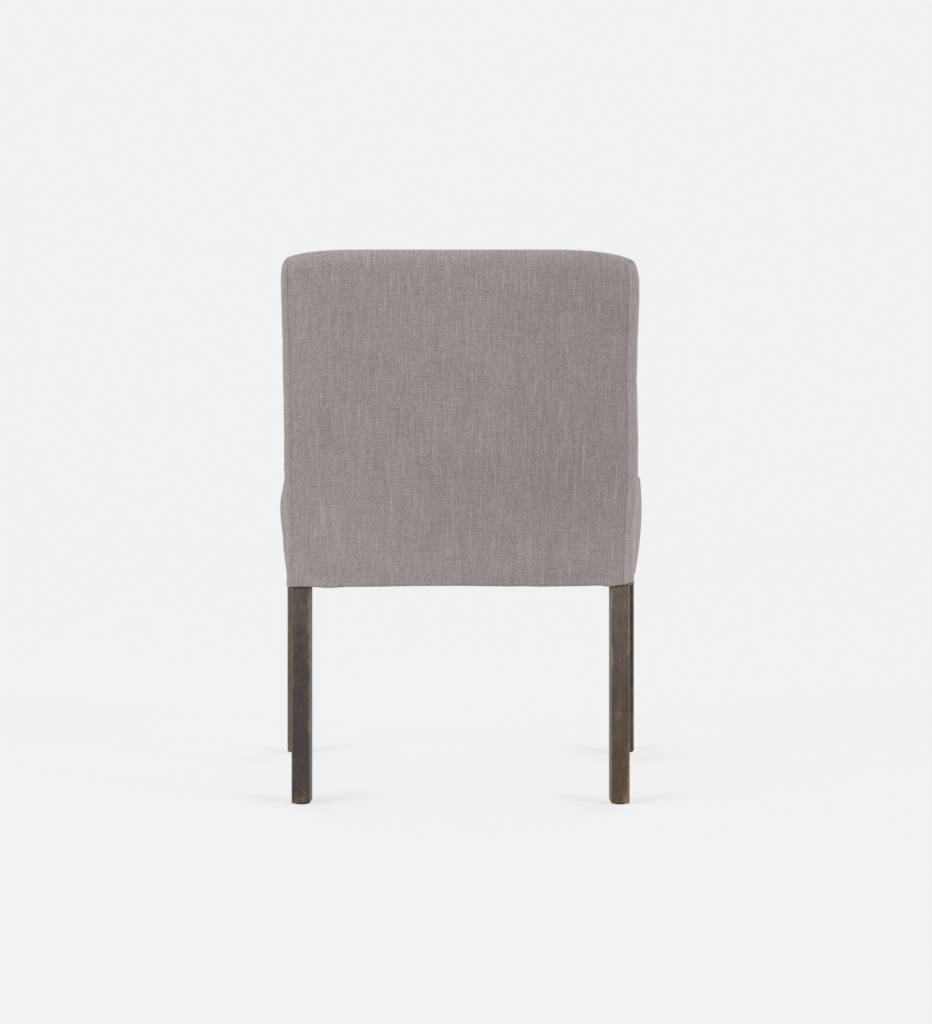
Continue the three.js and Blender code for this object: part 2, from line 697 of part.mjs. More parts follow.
function addSeatUpholstery() {
  const foamRows = [foamBottom, ...seatFoamHeights.slice(1)].map((height) => seatRow(height, 1, foamInset));
  addPiece("seat_foam", padFrom([...foamRows, ...seatTopRows(foamInset)]), "foam");
  // Below the foam the cover has no rear wall: the side rails and the straps run through there.
  const openHalf = sideOuter(-rearLegDepth - backTuck - seatBackGap - foamInset) + clearance;
  const opening = boxAt(
    [-openHalf, -rearLegDepth - cutOverrun, hemHeight - cutOverrun],
    [openHalf, cutOverrun, foamBottom],
  );
  const cover = coverFrom(seatRows(0), seatRows(clothThickness));
  addPiece("seat_cover", cutBy(cover, opening), "cloth");
}

function addBackUpholstery() {
  const frontFace = -rearLegDepth;
  const opening = boxAt(
    [tuckCornerRadius - backHalfWidth, frontFace - cutOverrun, hemHeight - cutOverrun],
    [backHalfWidth - tuckCornerRadius, frontFace + clearance, foamBottom],
  );
  const cover = coverFrom(backRows(hemHeight, 0), backRows(hemHeight, clothThickness));
  addPiece("back_cover", cutBy(cover, opening), "cloth");
  // The foam lies in front of the posts and webbing, over the crest and down the posts' outer sides.
  const half = rearOuter + clearance;
  const frameTop = arc(0, postLength + clearance, half, crestDroop, 0, 2);
  const frameOutline = [[-half, 0], [half, 0], ...frameTop];
  const frameSpace = inLeaning(prismY(frameOutline, -postDepth - strapStack, cutOverrun));
  const belowSlab = boxAt([-half, -backHeight, 0], [half, backHeight, railTop + backFoamStart]);
  const pad = padFrom(backRows(hemHeight + clearance, foamInset));
  addPiece("back_foam", cutBy(pad, frameSpace, belowSlab), "foam");
}

addRearPosts();
addFrontLegs();
addCornerBlocks();
addSeatRails();
addBackRails();
addSeatWebbing();
addBackWebbing();
addSheets();
addSeatUpholstery();
addBackUpholstery();

const outline = new THREE.Box3().setFromObject(chair, true);
chair.position.y = -(outline.min.y + outline.max.y) / 2;

export default chair;
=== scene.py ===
"""Dresses the solids of an armless upholstered dining chair with its covers, woods and small parts.

Everything is in metres in the solids' own frame: z = 0 is the floor, the sitter faces -Y, and left and
right are the sitter's, so left is +X.
"""

import math
from contextlib import contextmanager

import bmesh
import bpy
import numpy as np
from bpy.props import FloatProperty, FloatVectorProperty, PointerProperty
from mathutils import Matrix, Vector


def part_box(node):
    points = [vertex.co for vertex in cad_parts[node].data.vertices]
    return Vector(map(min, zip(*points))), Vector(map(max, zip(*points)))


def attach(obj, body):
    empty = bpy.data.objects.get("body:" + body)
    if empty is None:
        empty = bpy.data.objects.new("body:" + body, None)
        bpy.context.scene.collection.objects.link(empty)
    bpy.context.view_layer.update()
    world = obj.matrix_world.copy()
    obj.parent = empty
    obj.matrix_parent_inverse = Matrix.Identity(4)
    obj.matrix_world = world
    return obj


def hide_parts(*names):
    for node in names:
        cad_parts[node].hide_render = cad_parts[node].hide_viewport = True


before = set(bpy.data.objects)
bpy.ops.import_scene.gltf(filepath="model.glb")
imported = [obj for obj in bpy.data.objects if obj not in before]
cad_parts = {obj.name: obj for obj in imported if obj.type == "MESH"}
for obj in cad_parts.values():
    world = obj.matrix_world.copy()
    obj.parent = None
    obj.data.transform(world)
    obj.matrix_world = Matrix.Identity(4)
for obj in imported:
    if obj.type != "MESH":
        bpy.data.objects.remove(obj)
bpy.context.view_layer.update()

bl_info = {
    "name": "Parsons Chair",
    "version": (1, 0, 0),
    "blender": (4, 5, 0),
    "location": "3D View > Sidebar > Chair",
    "description": "Covers, woods, webbing and studio of an armless upholstered dining chair",
    "category": "Object",
}

# Places that the solids give
RAIL, LEG, POST = (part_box(name) for name in ("rear_rail", "front_leg_left", "rear_post_left"))
REAR_FACE, RAIL_TOP = RAIL[1].y, RAIL[1].z  # the rear legs' rear faces are the rail's
FRONT_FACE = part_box("front_rail")[0].y
FRONT_OUTER, FRONT_INNER, FRONT_LEG_BACK = LEG[1].x, LEG[0].x, LEG[1].y
REAR_OUTER, REAR_INNER, POST_TOP = POST[1].x, POST[0].x, POST[1].z
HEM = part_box("back_cover")[0].z
FOAM_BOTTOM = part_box("seat_foam")[0].z

# How the frame's parts lie to each other
LEAN = math.radians(10)
LEG_DEPTH = 0.033
REAR_LEG_FRONT = REAR_FACE - LEG_DEPTH
CLEARANCE = 0.0003
CLOTH = 0.0012
HEM_EASE = 0.0005  # how far the covers' lower edge draws in
POST_DEPTH = LEG_DEPTH * math.cos(LEAN)
POST_EASE = 0.0015  # flat on the posts' long edges
POST_LENGTH = (POST_TOP - RAIL_TOP) / math.cos(LEAN)
SIDE_SLOPE = (FRONT_OUTER - REAR_OUTER) / (REAR_LEG_FRONT - FRONT_LEG_BACK)
BOARD_BACK = 0.0031  # board's rear face behind the legs' rear faces, with its clearance
FOAM_START = 0.030  # back foam's lower edge above the rails
STRAP_THICKNESS = 0.0014
STRAP_STEP = (STRAP_THICKNESS + CLEARANCE) / 2
STRAP_STACK = CLEARANCE + STRAP_THICKNESS + STRAP_STEP + CLEARANCE
QUARTER = math.pi / 2
CREST_ARCH = 0.0185  # rise of the crest rail's top over the ends of the posts
SHEET_THICKNESS = 0.0008
SEAM_HELD = 0.0045  # how near to a seam the filling can't move the cloth
BEHIND_SEAT = (0.515, 0.565)  # heights between which the inside back comes free of the seat
PRESSURE, SPARE_CLOTH, FRAMES = 4.0, 0.012, 20  # of the simulation of the filled covers
OVERLAP = 0.001  # of two rooms that are cut one after the other
BELOW_HEM = HEM - 0.02
LEANING = Matrix.Translation((0, REAR_FACE, RAIL_TOP)) @ Matrix.Rotation(-LEAN, 4, "X")
CORNERS = ("front_left", "front_right", "rear_left", "rear_right")

# How far the hand-filled covers stand out from their plain form: height, left side, right side
BACK_SIDES = np.array(
    [
        (0.327, 0.0010, 0.0), (0.340, 0.0008, 0.0), (0.420, 0.0006, 0.0010), (0.460, 0.0016, 0.0029),
        (0.502, 0.0026, 0.0037), (0.546, 0.0015, 0.0031), (0.575, 0.0012, 0.0015), (0.605, 0.0010, 0.0005),
        (0.634, 0.0011, -0.0008), (0.691, 0.0008, -0.0011), (0.748, 0.0012, 0.0002), (0.775, 0.0013, -0.0002),
        (0.791, 0.0010, -0.0022), (0.822, 0.0010, -0.0022),
    ]
).T
SEAT_SIDES = np.array(
    [
        (0.327, -0.0008, 0.0), (0.349, -0.0014, 0.0), (0.376, -0.0020, 0.0), (0.395, -0.0032, 0.0),
        (0.416, -0.0022, 0.0), (0.443, -0.0007, 0.0), (0.457, -0.0010, 0.0), (0.470, -0.0025, 0.0),
        (0.484, -0.0044, 0.0), (0.500, -0.0054, 0.0),
    ]
).T
# How far the hem is pulled up along the outside back: place from right to left, pull
HEM_RISE = np.array(
    [
        (-0.2585, 0.0120), (-0.2561, 0.0092), (-0.2516, 0.0068), (-0.2480, 0.0034), (-0.2351, 0.0022),
        (-0.2217, 0.0002), (-0.2082, 0.0020), (-0.1664, 0.0010), (-0.1185, 0.0003), (-0.0946, 0.0009),
        (-0.0707, 0.0006), (0.0010, 0.0017), (0.0489, 0.0014), (0.0728, 0.0013), (0.1206, 0.0003),
        (0.1685, 0.0001), (0.1954, -0.0016), (0.2238, 0.0),
    ]
).T


def amount(name, default, description, **kind):
    return FloatProperty(name=name, description=description, default=default, min=0.0, **kind)


def length(name, default, description):
    return amount(name, default, description, subtype="DISTANCE", unit="LENGTH")


def colour(name, default, description):
    kind = {"size": 3, "min": 0.0, "max": 1.0, "subtype": "COLOR"}
    return FloatVectorProperty(name=name, description=description, default=default, **kind)


def share(name, default, description):
    return amount(name, default, description, max=1.0, subtype="FACTOR")


def angle(name, degrees, description):
    return amount(name, math.radians(degrees), description, subtype="ANGLE", unit="ROTATION")


class BackForm(bpy.types.PropertyGroup):
    """Sizes of the covered back"""

    top: length("Top", 0.8228, "Top of the back above the floor")
    half_width: length("Half width", 0.261, "Middle of the back to its sides")
    rear_padding: length("Rear padding", 0.0043, "Outside back over the legs' rear faces")
    foam_low: length("Foam at the seat", 0.042, "Inside back over the posts at the seat's edge")
    foam_high: length("Foam near the top", 0.028, "Inside back over the posts near the top")
    tuck: length("Tuck", 0.0018, "Cover over the posts below the seat")
    belly: length("Belly", 0.005, "Extra crown in the middle of the inside back")
    corner: length("Corner radius", 0.0145, "Radius of the upright corners")
    tuck_corner: length("Tucked corner radius", 0.003, "Radius of the front corners below the seat")
    top_round: length("Top rounding", 0.030, "Height of the rounded top edge")
    top_corner: length("Top corner rounding", 0.012, "How far the top corners draw in")
    droop_left: length("Left droop", 0.0140, "Fall of the top edge to its left corner")
    droop_right: length("Right droop", 0.0170, "Fall of the top edge to its right corner")
    crest_flat: length("Crest flat", 0.095, "Half length of the top edge's level middle")
    crown_power: amount("Crown power", 2.6, "Squareness of the top edge")
    left_power: amount("Left power", 4.5, "How late the top edge falls on the left")
    right_power: amount("Right power", 3.6, "How late the top edge falls on the right")
    gusset_wrap_left: length("Left seam place", 0.0196, "Left side strip's reach round the rear corner")
    gusset_wrap_right: length("Right seam place", 0.0256, "Right side strip's reach round the rear corner")
    bridge: length("Bridge", 0.078, "Half length in which the outside back's cloth spans the bend")
    puff: length("Most puff", 0.006, "Furthest that the padding may swell past its plain form")


class SeatForm(bpy.types.PropertyGroup):
    """Sizes of the covered seat"""

    edge: length("Seat edge", 0.500, "Seam round the seat's top above the floor")
    crown: length("Crown", 0.012, "Seat's middle above that seam")
    hem_proud: length("Hem proud", 0.002, "Band over the rails at the hem")
    bulge: length("Bulge", 0.0115, "Fullest swell of the seat's sides")
    blend: length("Blend", 0.150, "Length in which the seat's sides leave the back's")
    side_padding: length("Side padding", 0.0076, "Band over the posts' outer faces at the back")
    front_crown: length("Front crown", 0.004, "Extra swell in the middle of the front")
    hem_corner: length("Hem corner radius", 0.005, "Radius of the front corners at the hem")
    corner: length("Corner radius", 0.026, "Radius of the front corners at the seam")
    gap: length("Gap", 0.0005, "Between the seat and the back")
    puff: length("Most puff", 0.005, "Furthest that the padding may swell past its plain form")


class CoverLook(bpy.types.PropertyGroup):
    """Colours and scale of the woven cover"""

    dark: colour("Dark thread", (0.1465, 0.1227, 0.1186), "Colour deep between the threads")
    light: colour("Light thread", (0.3455, 0.3130, 0.3066), "Colour of the raised threads")
    thread: length("Thread", 0.0011, "Distance from thread to thread")
    slubs: share("Slubs", 0.66, "Strength of the uneven threads")
    cloudiness: share("Cloudiness", 0.25, "Strength of the broad changes of tone")
    # The dark line in a seam is painted shade in its crease
    seam_width: length("Seam width", 0.0011, "Half width of the dark line in a seam")


class WoodLook(bpy.types.PropertyGroup):
    """Colours of the stained legs"""

    deep: colour("Deep stain", (0.029, 0.023, 0.022), "Stain in the open grain")
    plain: colour("Plain stain", (0.112, 0.083, 0.064), "Stain between the grain")
    warm: colour("Warm stain", (0.088, 0.052, 0.019), "Stain thinned towards a foot")
    worn: colour("Worn wood", (0.300, 0.190, 0.085), "Wood where the stain is rubbed off")
    # Colour of a painted highlight along the legs' edges
    painted_edge_highlight: colour("Painted edge highlight", (0.330, 0.300, 0.310), "Lacquer worn pale on the edges")
    wear: share("Wear", 0.42, "How much the edges are rubbed")


class StudioLook(bpy.types.PropertyGroup):
    """Camera, lights and floor"""

    distance: length("Distance", 2.13, "Camera to the rear legs' rear faces")
    eye: length("Eye height", 0.439, "Camera above the floor")
    lens: amount("Lens", 50.0, "Focal length in millimetres", subtype="NONE")
    shift: amount("Shift", 0.0052, "Sideways shift of the picture")
    backdrop: share("Backdrop", 0.8796, "Brightness of floor and backdrop")
    fill: amount("Fill", 0.20, "Strength of the even light from all round")
    left: amount("Left light", 1.53, "Strength of the light on the left of the picture")
    right: amount("Right light", 2.15, "Strength of the light on the right of the picture")
    left_wash: amount("Left wash", 0.78, "Strength of the wide light beside the left of the chair")
    right_wash: amount("Right wash", 2.2, "Strength of the wide light beside the right of the chair")
    front_wash: amount("Front wash", 1.2, "Strength of the wide light before the chair")
    near: amount("Near light", 19.5, "Power of the small light close by on the left")
    climb: angle("Climb", 17, "Height of the suns above the horizon")
    softness: angle("Softness", 4, "Width of the side lights as seen from the chair")
    spread: angle("Spread", 100, "Width of the washes as seen from the chair")
    open_floor: amount("Open floor", 0.425, "Brightness of the floor's lit part away from the chair")
    shadow: share("Shadow", 0.05, "How much of the floor's shadow shows")
    foot_shadow: share("Foot shadow", 0.47, "How much of it shows at the feet")
    foot_reach: length("Foot reach", 0.15, "How far from the feet that shows")


# Numbers on surfaces, and finishes made of them


def worked(operation, turned=False):
    """An operator of numbers that adds the node for it"""

    def apply(self, other):
        return self.finish.maths(operation, *((other, self) if turned else (self, other)))

    return apply


class Number:
    """A number that changes over a surface; expressions on it add the nodes that work them out"""

    def __init__(self, finish, socket):
        self.finish, self.socket = finish, socket

    __add__ = __radd__ = worked("ADD")
    __mul__ = __rmul__ = worked("MULTIPLY")
    __sub__, __rsub__ = worked("SUBTRACT"), worked("SUBTRACT", turned=True)
    __truediv__, __rtruediv__ = worked("DIVIDE"), worked("DIVIDE", turned=True)
    __pow__ = worked("POWER")
    least, most = worked("MINIMUM"), worked("MAXIMUM")

    def __abs__(self):
        return self.finish.maths("ABSOLUTE", self)

    def sine(self):
        return self.finish.maths("SINE", self)

    def held(self):
        return self.most(0.0).least(1.0)

    def swing(self, scale):
        """How far a noise is from its middle"""
        return (self - 0.5) * scale

    def ramp(self, low, high):
        """0 at low and 1 at high, with soft ends"""
        sockets = {"Value": self, "From Min": low, "From Max": high}
        return self.finish.number("ShaderNodeMapRange", "Result", sockets, interpolation_type="SMOOTHSTEP")


class Finish:
    """A material, or the world's light, and the nodes that make it"""

    def __init__(self, name, owners="materials", output="ShaderNodeOutputMaterial"):
        self.owner = getattr(bpy.data, owners).new(name)
        self.owner.use_nodes = True
        self.tree = self.owner.node_tree
        self.tree.nodes.clear()
        self.output = self.node(output)

    def node(self, kind, sockets=None, **settings):
        made = self.tree.nodes.new(kind)
        for key, value in settings.items():
            setattr(made, key, value)
        for key, value in (sockets or {}).items():
            self.feed(made.inputs[key], value)
        return made

    def feed(self, socket, value):
        if isinstance(value, Number):
            value = value.socket
        if isinstance(value, bpy.types.NodeSocket):
            self.tree.links.new(value, socket)
        elif socket.type == "RGBA" and len(value) == 3:
            socket.default_value = (*value, 1.0)
        else:
            socket.default_value = value

    def number(self, kind, output, sockets=None, **settings):
        return Number(self, self.node(kind, sockets, **settings).outputs[output])

    def maths(self, operation, *values):
        return self.number("ShaderNodeMath", 0, dict(enumerate(values)), operation=operation)

    def place(self, source="Object"):
        """The three coordinates of a point, as numbers"""
        if source == "Object":
            found = self.node("ShaderNodeTexCoord").outputs["Object"]
        else:
            found = self.node("ShaderNodeUVMap", uv_map=source).outputs[0]
        return [Number(self, s) for s in self.node("ShaderNodeSeparateXYZ", {0: found}).outputs]

    def attribute(self, name):
        return self.number("ShaderNodeAttribute", "Fac", attribute_name=name)

    def noise(self, x, y, z, detail=2.0, roughness=0.5, distortion=0.0):
        """Uneven values from 0 to 1, with 0.5 in the middle, about one change to a unit"""
        point = self.node("ShaderNodeCombineXYZ", {0: x, 1: y, 2: z}).outputs[0]
        kind = {"Scale": 1.0, "Detail": detail, "Roughness": roughness, "Distortion": distortion}
        return self.number("ShaderNodeTexNoise", "Fac", {"Vector": point, **kind})

    def blend(self, factor, low, high):
        """A colour between two; its node has sockets of the same name, so they go by number"""
        return self.node("ShaderNodeMix", {0: factor, 6: low, 7: high}, data_type="RGBA").outputs[2]

    def surface(self, colours, roughness, relief, **others):
        """Ends the material in one shader; relief is a height, its depth in metres and its strength"""
        bump = self.node("ShaderNodeBump", dict(zip(("Height", "Distance", "Strength"), relief)))
        sockets = {"Base Color": colours, "Roughness": roughness, "Normal": bump.outputs[0]}
        sockets.update((key.replace("_", " "), value) for key, value in others.items())
        return self.end_in(self.node("ShaderNodeBsdfPrincipled", sockets))

    def seen_straight(self):
        """1 where the camera, a reflection or glass looks straight at the surface"""
        rays = self.node("ShaderNodeLightPath").outputs
        kinds = ("Camera", "Glossy", "Transmission")
        camera, glossy, clear = (Number(self, rays[f"Is {kind} Ray"]) for kind in kinds)
        return (camera + glossy + clear).least(1.0)

    def end_in_mix(self, share_of_second, first, second):
        shaders = {0: share_of_second, 1: first.outputs[0], 2: second.outputs[0]}
        return self.end_in(self.node("ShaderNodeMixShader", shaders))

    def end_in(self, shader):
        self.tree.links.new(shader.outputs[0], self.output.inputs[0])
        return self.owner


def cover_finish(name, left_painted_shading, right_painted_shading):
    """Linen-look plain weave: uneven threads, clouds of tone, seams with painted shade in their creases, and
    side strips with painted light and shade of their own on each side
    """
    look = bpy.context.scene.chair_cover
    made = Finish(name)
    side, _, _ = made.place()
    u, v, _ = made.place("weave")
    pitch = 1 / look.thread  # threads to a metre

    def cloth(across, along, seed, *kind):
        return made.noise(u * across, v * along, seed, *kind)

    upright, level = cloth(pitch * 0.8, 26, 1.43, 1.0), cloth(26, pitch * 0.75, 5.57, 1.0)
    short, grain = cloth(pitch * 0.8, 120, 9.37, 1.0), cloth(pitch * 1.1, pitch * 1.1, 13.46, 1.0, 0.7)
    clouds, broad = cloth(9, 6, 3.41, 3.0, 0.55), cloth(42, 30, 7.53, 2.0, 0.55)
    rows, columns = (v * (pitch * math.pi * 0.75)).sine(), (u * (pitch * math.pi * 0.5)).sine()
    threads = rows * (0.6 + columns * 0.4)
    weave = upright.swing(0.85) + level.swing(0.42) + short.swing(0.5) + grain.swing(3.0) + threads * 0.17
    weave = weave + upright.ramp(0.62, 0.78) * 0.36 - 0.04
    tone = 0.5 + weave * look.slubs + clouds.swing(look.cloudiness) + broad.swing(0.4 * look.cloudiness)
    seam_gap = made.attribute("seam_gap")
    seam = abs(seam_gap)
    # The dark line along each seam is painted shade in its crease, deeper in some places than in others
    seam_shade_depth = cloth(30, 30, 21.0).ramp(0.35, 0.65)
    line = 1 / (1 + (seam / look.seam_width) ** 2.0) ** 2.0
    # Painted light and shade on the side strips: a tone laid over them, its own amount on the left and on the
    # right
    strip_painted_shading = right_painted_shading + side.ramp(-0.1, 0.1) * (left_painted_shading - right_painted_shading)
    strip = 1 - seam_gap.ramp(-0.0012, 0.0)
    shade = (tone + strip * strip_painted_shading - line * (0.08 + seam_shade_depth * 0.15)).held()
    pucker = cloth(190, 190, 17.0, 1.0) * (1 - seam.ramp(0.002, 0.016))
    height = weave * 0.4 + threads * 0.2 - line * 1.3 + pucker * 0.7
    colours = made.blend(shade, look.dark, look.light)
    nap = {"Specular_IOR_Level": 0.2, "Sheen_Weight": 0.12, "Sheen_Roughness": 0.5}
    return made.surface(colours, 0.92, (height, 0.0005, 0.7), **nap)


def stained_finish(name, box, tint, foot_shade_strength, rubbed, warmth):
    """Dark stained hardwood with painted shade towards the foot, rubbed to tan spots, and a painted highlight
    along its edges
    """
    look = bpy.context.scene.chair_wood
    made = Finish(name)
    x, y, z = made.place()
    middle, half = (box[0] + box[1]) / 2, (box[1] - box[0]) / 2
    seed = middle.x * 31 + middle.y * 17

    def wood(across, along, *kind):
        return made.noise(x * across, y * across, z * along + seed, *kind)

    grain, blotch, patch = wood(330, 15, 3.0, 0.65), wood(85, 50, 5.0, 0.68), wood(38, 12, 3.0, 0.6)
    specks, curves = wood(520, 330, 2.0, 0.6), wood(24, 15, 0.0)
    leans = half.z > 0.3  # a rear post, whose visible part is upright and at its box's front
    half_y, middle_y = (LEG_DEPTH / 2, box[0].y + LEG_DEPTH / 2) if leans else (half.y, middle.y)
    edge = (half.x - abs(x - middle.x)).most(half_y - abs(y - middle_y))
    uneven_edge = edge + specks.swing(0.0022)
    foot = z - box[0].z
    beside = (1 - uneven_edge.ramp(0.0006, 0.0060)) * patch.ramp(0.44, 0.66)
    below = (1 - foot.ramp(0.001, 0.020)) * patch.ramp(0.42, 0.62)
    flecks = wood(420, 30, 2.0, 0.6).ramp(0.54, 0.70) * patch.ramp(0.40, 0.62)
    rub = (beside + below).held() * (0.25 + blotch.ramp(0.40, 0.62))
    rub = (rub + blotch.ramp(0.55, 0.74) * 0.35 + flecks * 0.6).held()
    rub = rub * (0.35 + specks.ramp(0.36, 0.62) * 0.9) * rubbed
    scratches = (1 - abs(curves - 0.5).ramp(0.0015, 0.0060)) * patch.ramp(0.50, 0.62) * specks.ramp(0.35, 0.60)
    # Painted highlight: a pale line along the legs' eased edges
    painted_edge_highlight = 1 - edge.ramp(0.0005, 0.0015)
    # Painted shade: the stain deepens towards the foot
    painted_foot_shade = foot_shade_strength * (1 - foot.ramp(0.02, 0.34 if leans else half.z * 2))
    tone = (tint + grain.swing(1.1) + blotch.swing(1.3) + specks.swing(0.5) - painted_foot_shade).held()
    colours = made.blend(tone, look.deep, look.plain)
    colours = made.blend(warmth * (1 - foot.ramp(0.0, 0.30)), colours, look.warm)
    colours = made.blend((rub * look.wear + scratches * 0.3).held(), colours, look.worn)
    colours = made.blend(painted_edge_highlight * 0.35, colours, look.painted_edge_highlight)
    height = grain.swing(0.5) + specks.swing(0.3) - scratches * 0.4
    roughness = 0.48 + blotch.swing(0.30) + rub * 0.15
    return made.surface(colours, roughness, (height, 0.0003, 0.5), Specular_IOR_Level=0.34)


def sawn_finish(name, axis):
    """Plain pale hardwood as it comes from the saw, with its grain along one axis"""
    made = Finish(name)
    place = made.place()

    def wood(along, across, *kind):
        return made.noise(*[p * (along if a == axis else across) for a, p in zip("xyz", place)], *kind)

    figure, pores, saw = wood(6, 130, 4.0, 0.6, 0.6), wood(40, 900), wood(330, 3, 1.0)
    tone = (figure + pores.swing(0.5) + saw.swing(0.2)).held()
    colours = made.blend(tone, (0.44, 0.28, 0.14), (0.66, 0.49, 0.29))
    return made.surface(colours, 0.72 + pores.swing(0.2), (pores - 0.5 + saw.swing(0.6), 0.0003, 0.4))


def webbing_finish(name):
    """Dark elastic webbing with ribs along it and two pale marker threads"""
    made = Finish(name)
    u, v, _ = made.place("weave")
    ribs, cross = (v * 4200).sine(), (u * 2600).sine()
    fluff = made.noise(u * 500, v * 500, 2.0, 3.0)
    stripe = 1 - abs(abs(v) - 0.016).ramp(0.0008, 0.0016)
    base = made.blend((0.35 + ribs * 0.2 + (fluff - 0.5)).held(), (0.010, 0.009, 0.008), (0.050, 0.043, 0.038))
    base = made.blend(stripe * 0.75, base, (0.30, 0.17, 0.06))
    return made.surface(base, 0.88, (ribs * cross, 0.0003, 0.5))


def sheet_finish(name, dark, light, pitch):
    """Thin plain cloth whose threads run along x and y"""
    made = Finish(name)
    x, y, _ = made.place()
    threads = (x * (2 * math.pi / pitch)).sine() * (y * (2 * math.pi / pitch)).sine()
    uneven_x, uneven_y = made.noise(x * 700, y * 30, 1.0), made.noise(x * 30, y * 700, 4.0)
    spots = made.noise(x * 240, y * 240, 6.0, 3.0)
    tone = (0.45 + threads * 0.25 + uneven_x.swing(0.6) + uneven_y.swing(0.6) + spots.swing(0.3)).held()
    height = threads + (uneven_x + uneven_y - 1) * 1.2
    return made.surface(made.blend(tone, dark, light), 0.93, (height, 0.0004, 0.6))


def board_finish(name):
    """Pressed brown fibreboard, mottled with short fibres"""
    made = Finish(name)
    x, y, z = made.place()
    fibres = made.noise(x * 380, y * 380, z * 90, 4.0, 0.7)
    flecks = made.noise(x * 1100, y * 1100, z * 700, 1.0)
    colours = made.blend((fibres + flecks.swing(0.6)).held(), (0.12, 0.066, 0.030), (0.33, 0.20, 0.105))
    return made.surface(colours, 0.80 + flecks.swing(0.2), (flecks, 0.0002, 0.4))


def zinc_finish(name):
    """Bright zinc plating with fine turning marks and dulled spots"""
    made = Finish(name)
    x, y, z = made.place()
    marks, dull = made.noise(x * 2600, y * 2600, z * 2600), made.noise(x * 300, y * 300, z * 300, 3.0)
    colours = made.blend(dull, (0.42, 0.41, 0.38), (0.66, 0.64, 0.59))
    return made.surface(colours, 0.25 + dull * 0.3, (marks, 0.0001, 0.3), Metallic=1.0)


def glide_finish(name):
    """Moulded dark nylon, scuffed grey underneath"""
    made = Finish(name)
    x, y, z = made.place()
    grain = made.noise(x * 1500, y * 1500, z * 1500)
    scuffs = made.noise(x * 90, y * 900, z * 90, 3.0).ramp(0.5, 0.8) * (1 - z.ramp(0.0, 0.0007))
    colours = made.blend((grain * 0.5 + scuffs).held(), (0.016, 0.013, 0.012), (0.060, 0.050, 0.044))
    return made.surface(colours, 0.42 + scuffs * 0.3, (grain, 0.0001, 0.3))


# Forms: rows of points


def mix(low, high, part):
    return low + (high - low) * part


def share_of(value, low, high):
    return np.clip((value - low) / (high - low), 0, 1)


def smooth(part):
    return part**2 * (3 - 2 * part)


def lean_at(z):
    return np.maximum(0, z - RAIL_TOP) * math.tan(LEAN)


def bridge_at(z, back):
    """The lean as the outside back's stretched cloth follows it, without the bend"""
    near = np.clip(z - RAIL_TOP + back.bridge, 0, 2 * back.bridge)
    return np.where(z > RAIL_TOP + back.bridge, lean_at(z), near**2 / (4 * back.bridge) * math.tan(LEAN))


def side_outer(y):
    """The side rail's outer face at a depth"""
    return np.minimum(FRONT_OUTER, REAR_OUTER + SIDE_SLOPE * (REAR_LEG_FRONT - y))


def arc(centre_x, centre_y, radius, start, turn, steps):
    angles = QUARTER * (start + turn * np.arange(steps) / steps)
    return centre_x + radius * np.cos(angles), centre_y + radius * np.sin(angles)


def line(start, end, steps):
    return start + (end - start) * np.arange(steps) / steps


def evenly(points, steps):
    """Shares of a dense line of points that cut it into equal lengths"""
    run = np.concatenate([[0], np.cumsum(np.linalg.norm(np.diff(points, axis=0), axis=1))])
    return np.interp(np.linspace(0, run[-1], steps + 1), run, np.linspace(0, 1, len(points)))


ACROSS, SIDE, CORNER = 128, 16, 10  # steps of a ring of the back
RIGHT_SIDE = CORNER * 2 + ACROSS  # first point of the right side's level part
STRIP_ABOVE, STRIP_ROUNDING = 0.026, 0.020  # side strips' end over the crown's start, and its corners


def back_pad(height, back, seat):
    """Inside back over the posts' front faces"""
    tuck = share_of(height, RAIL_TOP, seat.edge)
    rise = share_of(height, seat.edge, back.top - back.top_round)
    return mix(back.tuck, mix(back.foam_low, back.foam_high, rise), tuck)


def crest_droop(x, back):
    """Fall of the top edge towards its corners, later on the fuller left side"""
    past = np.maximum(0, np.abs(x) - back.crest_flat) / (back.half_width - back.crest_flat)
    return np.where(x > 0, back.droop_left * past**back.left_power, back.droop_right * past**back.right_power)


def eased(x, z, sides, start, full):
    """Moves the sides out by a table of heights, fading towards the middle"""
    heights, left, right = sides
    out = np.where(x > 0, np.interp(z, heights, left), np.interp(z, heights, right))
    return x + np.sign(x) * out * smooth(share_of(np.abs(x), start, full))


def hem_rise(x, height, behind):
    """How far a point near the hem is pulled up, from its place behind the rear face"""
    low = 1 - share_of(height, HEM, HEM + 0.030)
    return np.interp(x, *HEM_RISE) * smooth(low) * np.exp(behind / 0.012)


def ripple(x, z):
    """Slight unevenness of the cloth over the outside back"""
    wide = np.sin(x * 21 + 1.1 + z * 4) * np.sin(z * 24 + 0.4) + 0.7 * np.sin(x * 13 - z * 17 + 2.2)
    return 0.0005 * wide + 0.0003 * np.sin(x * 47 + 3 * np.sin(z * 19)) * np.sin(z * 31)


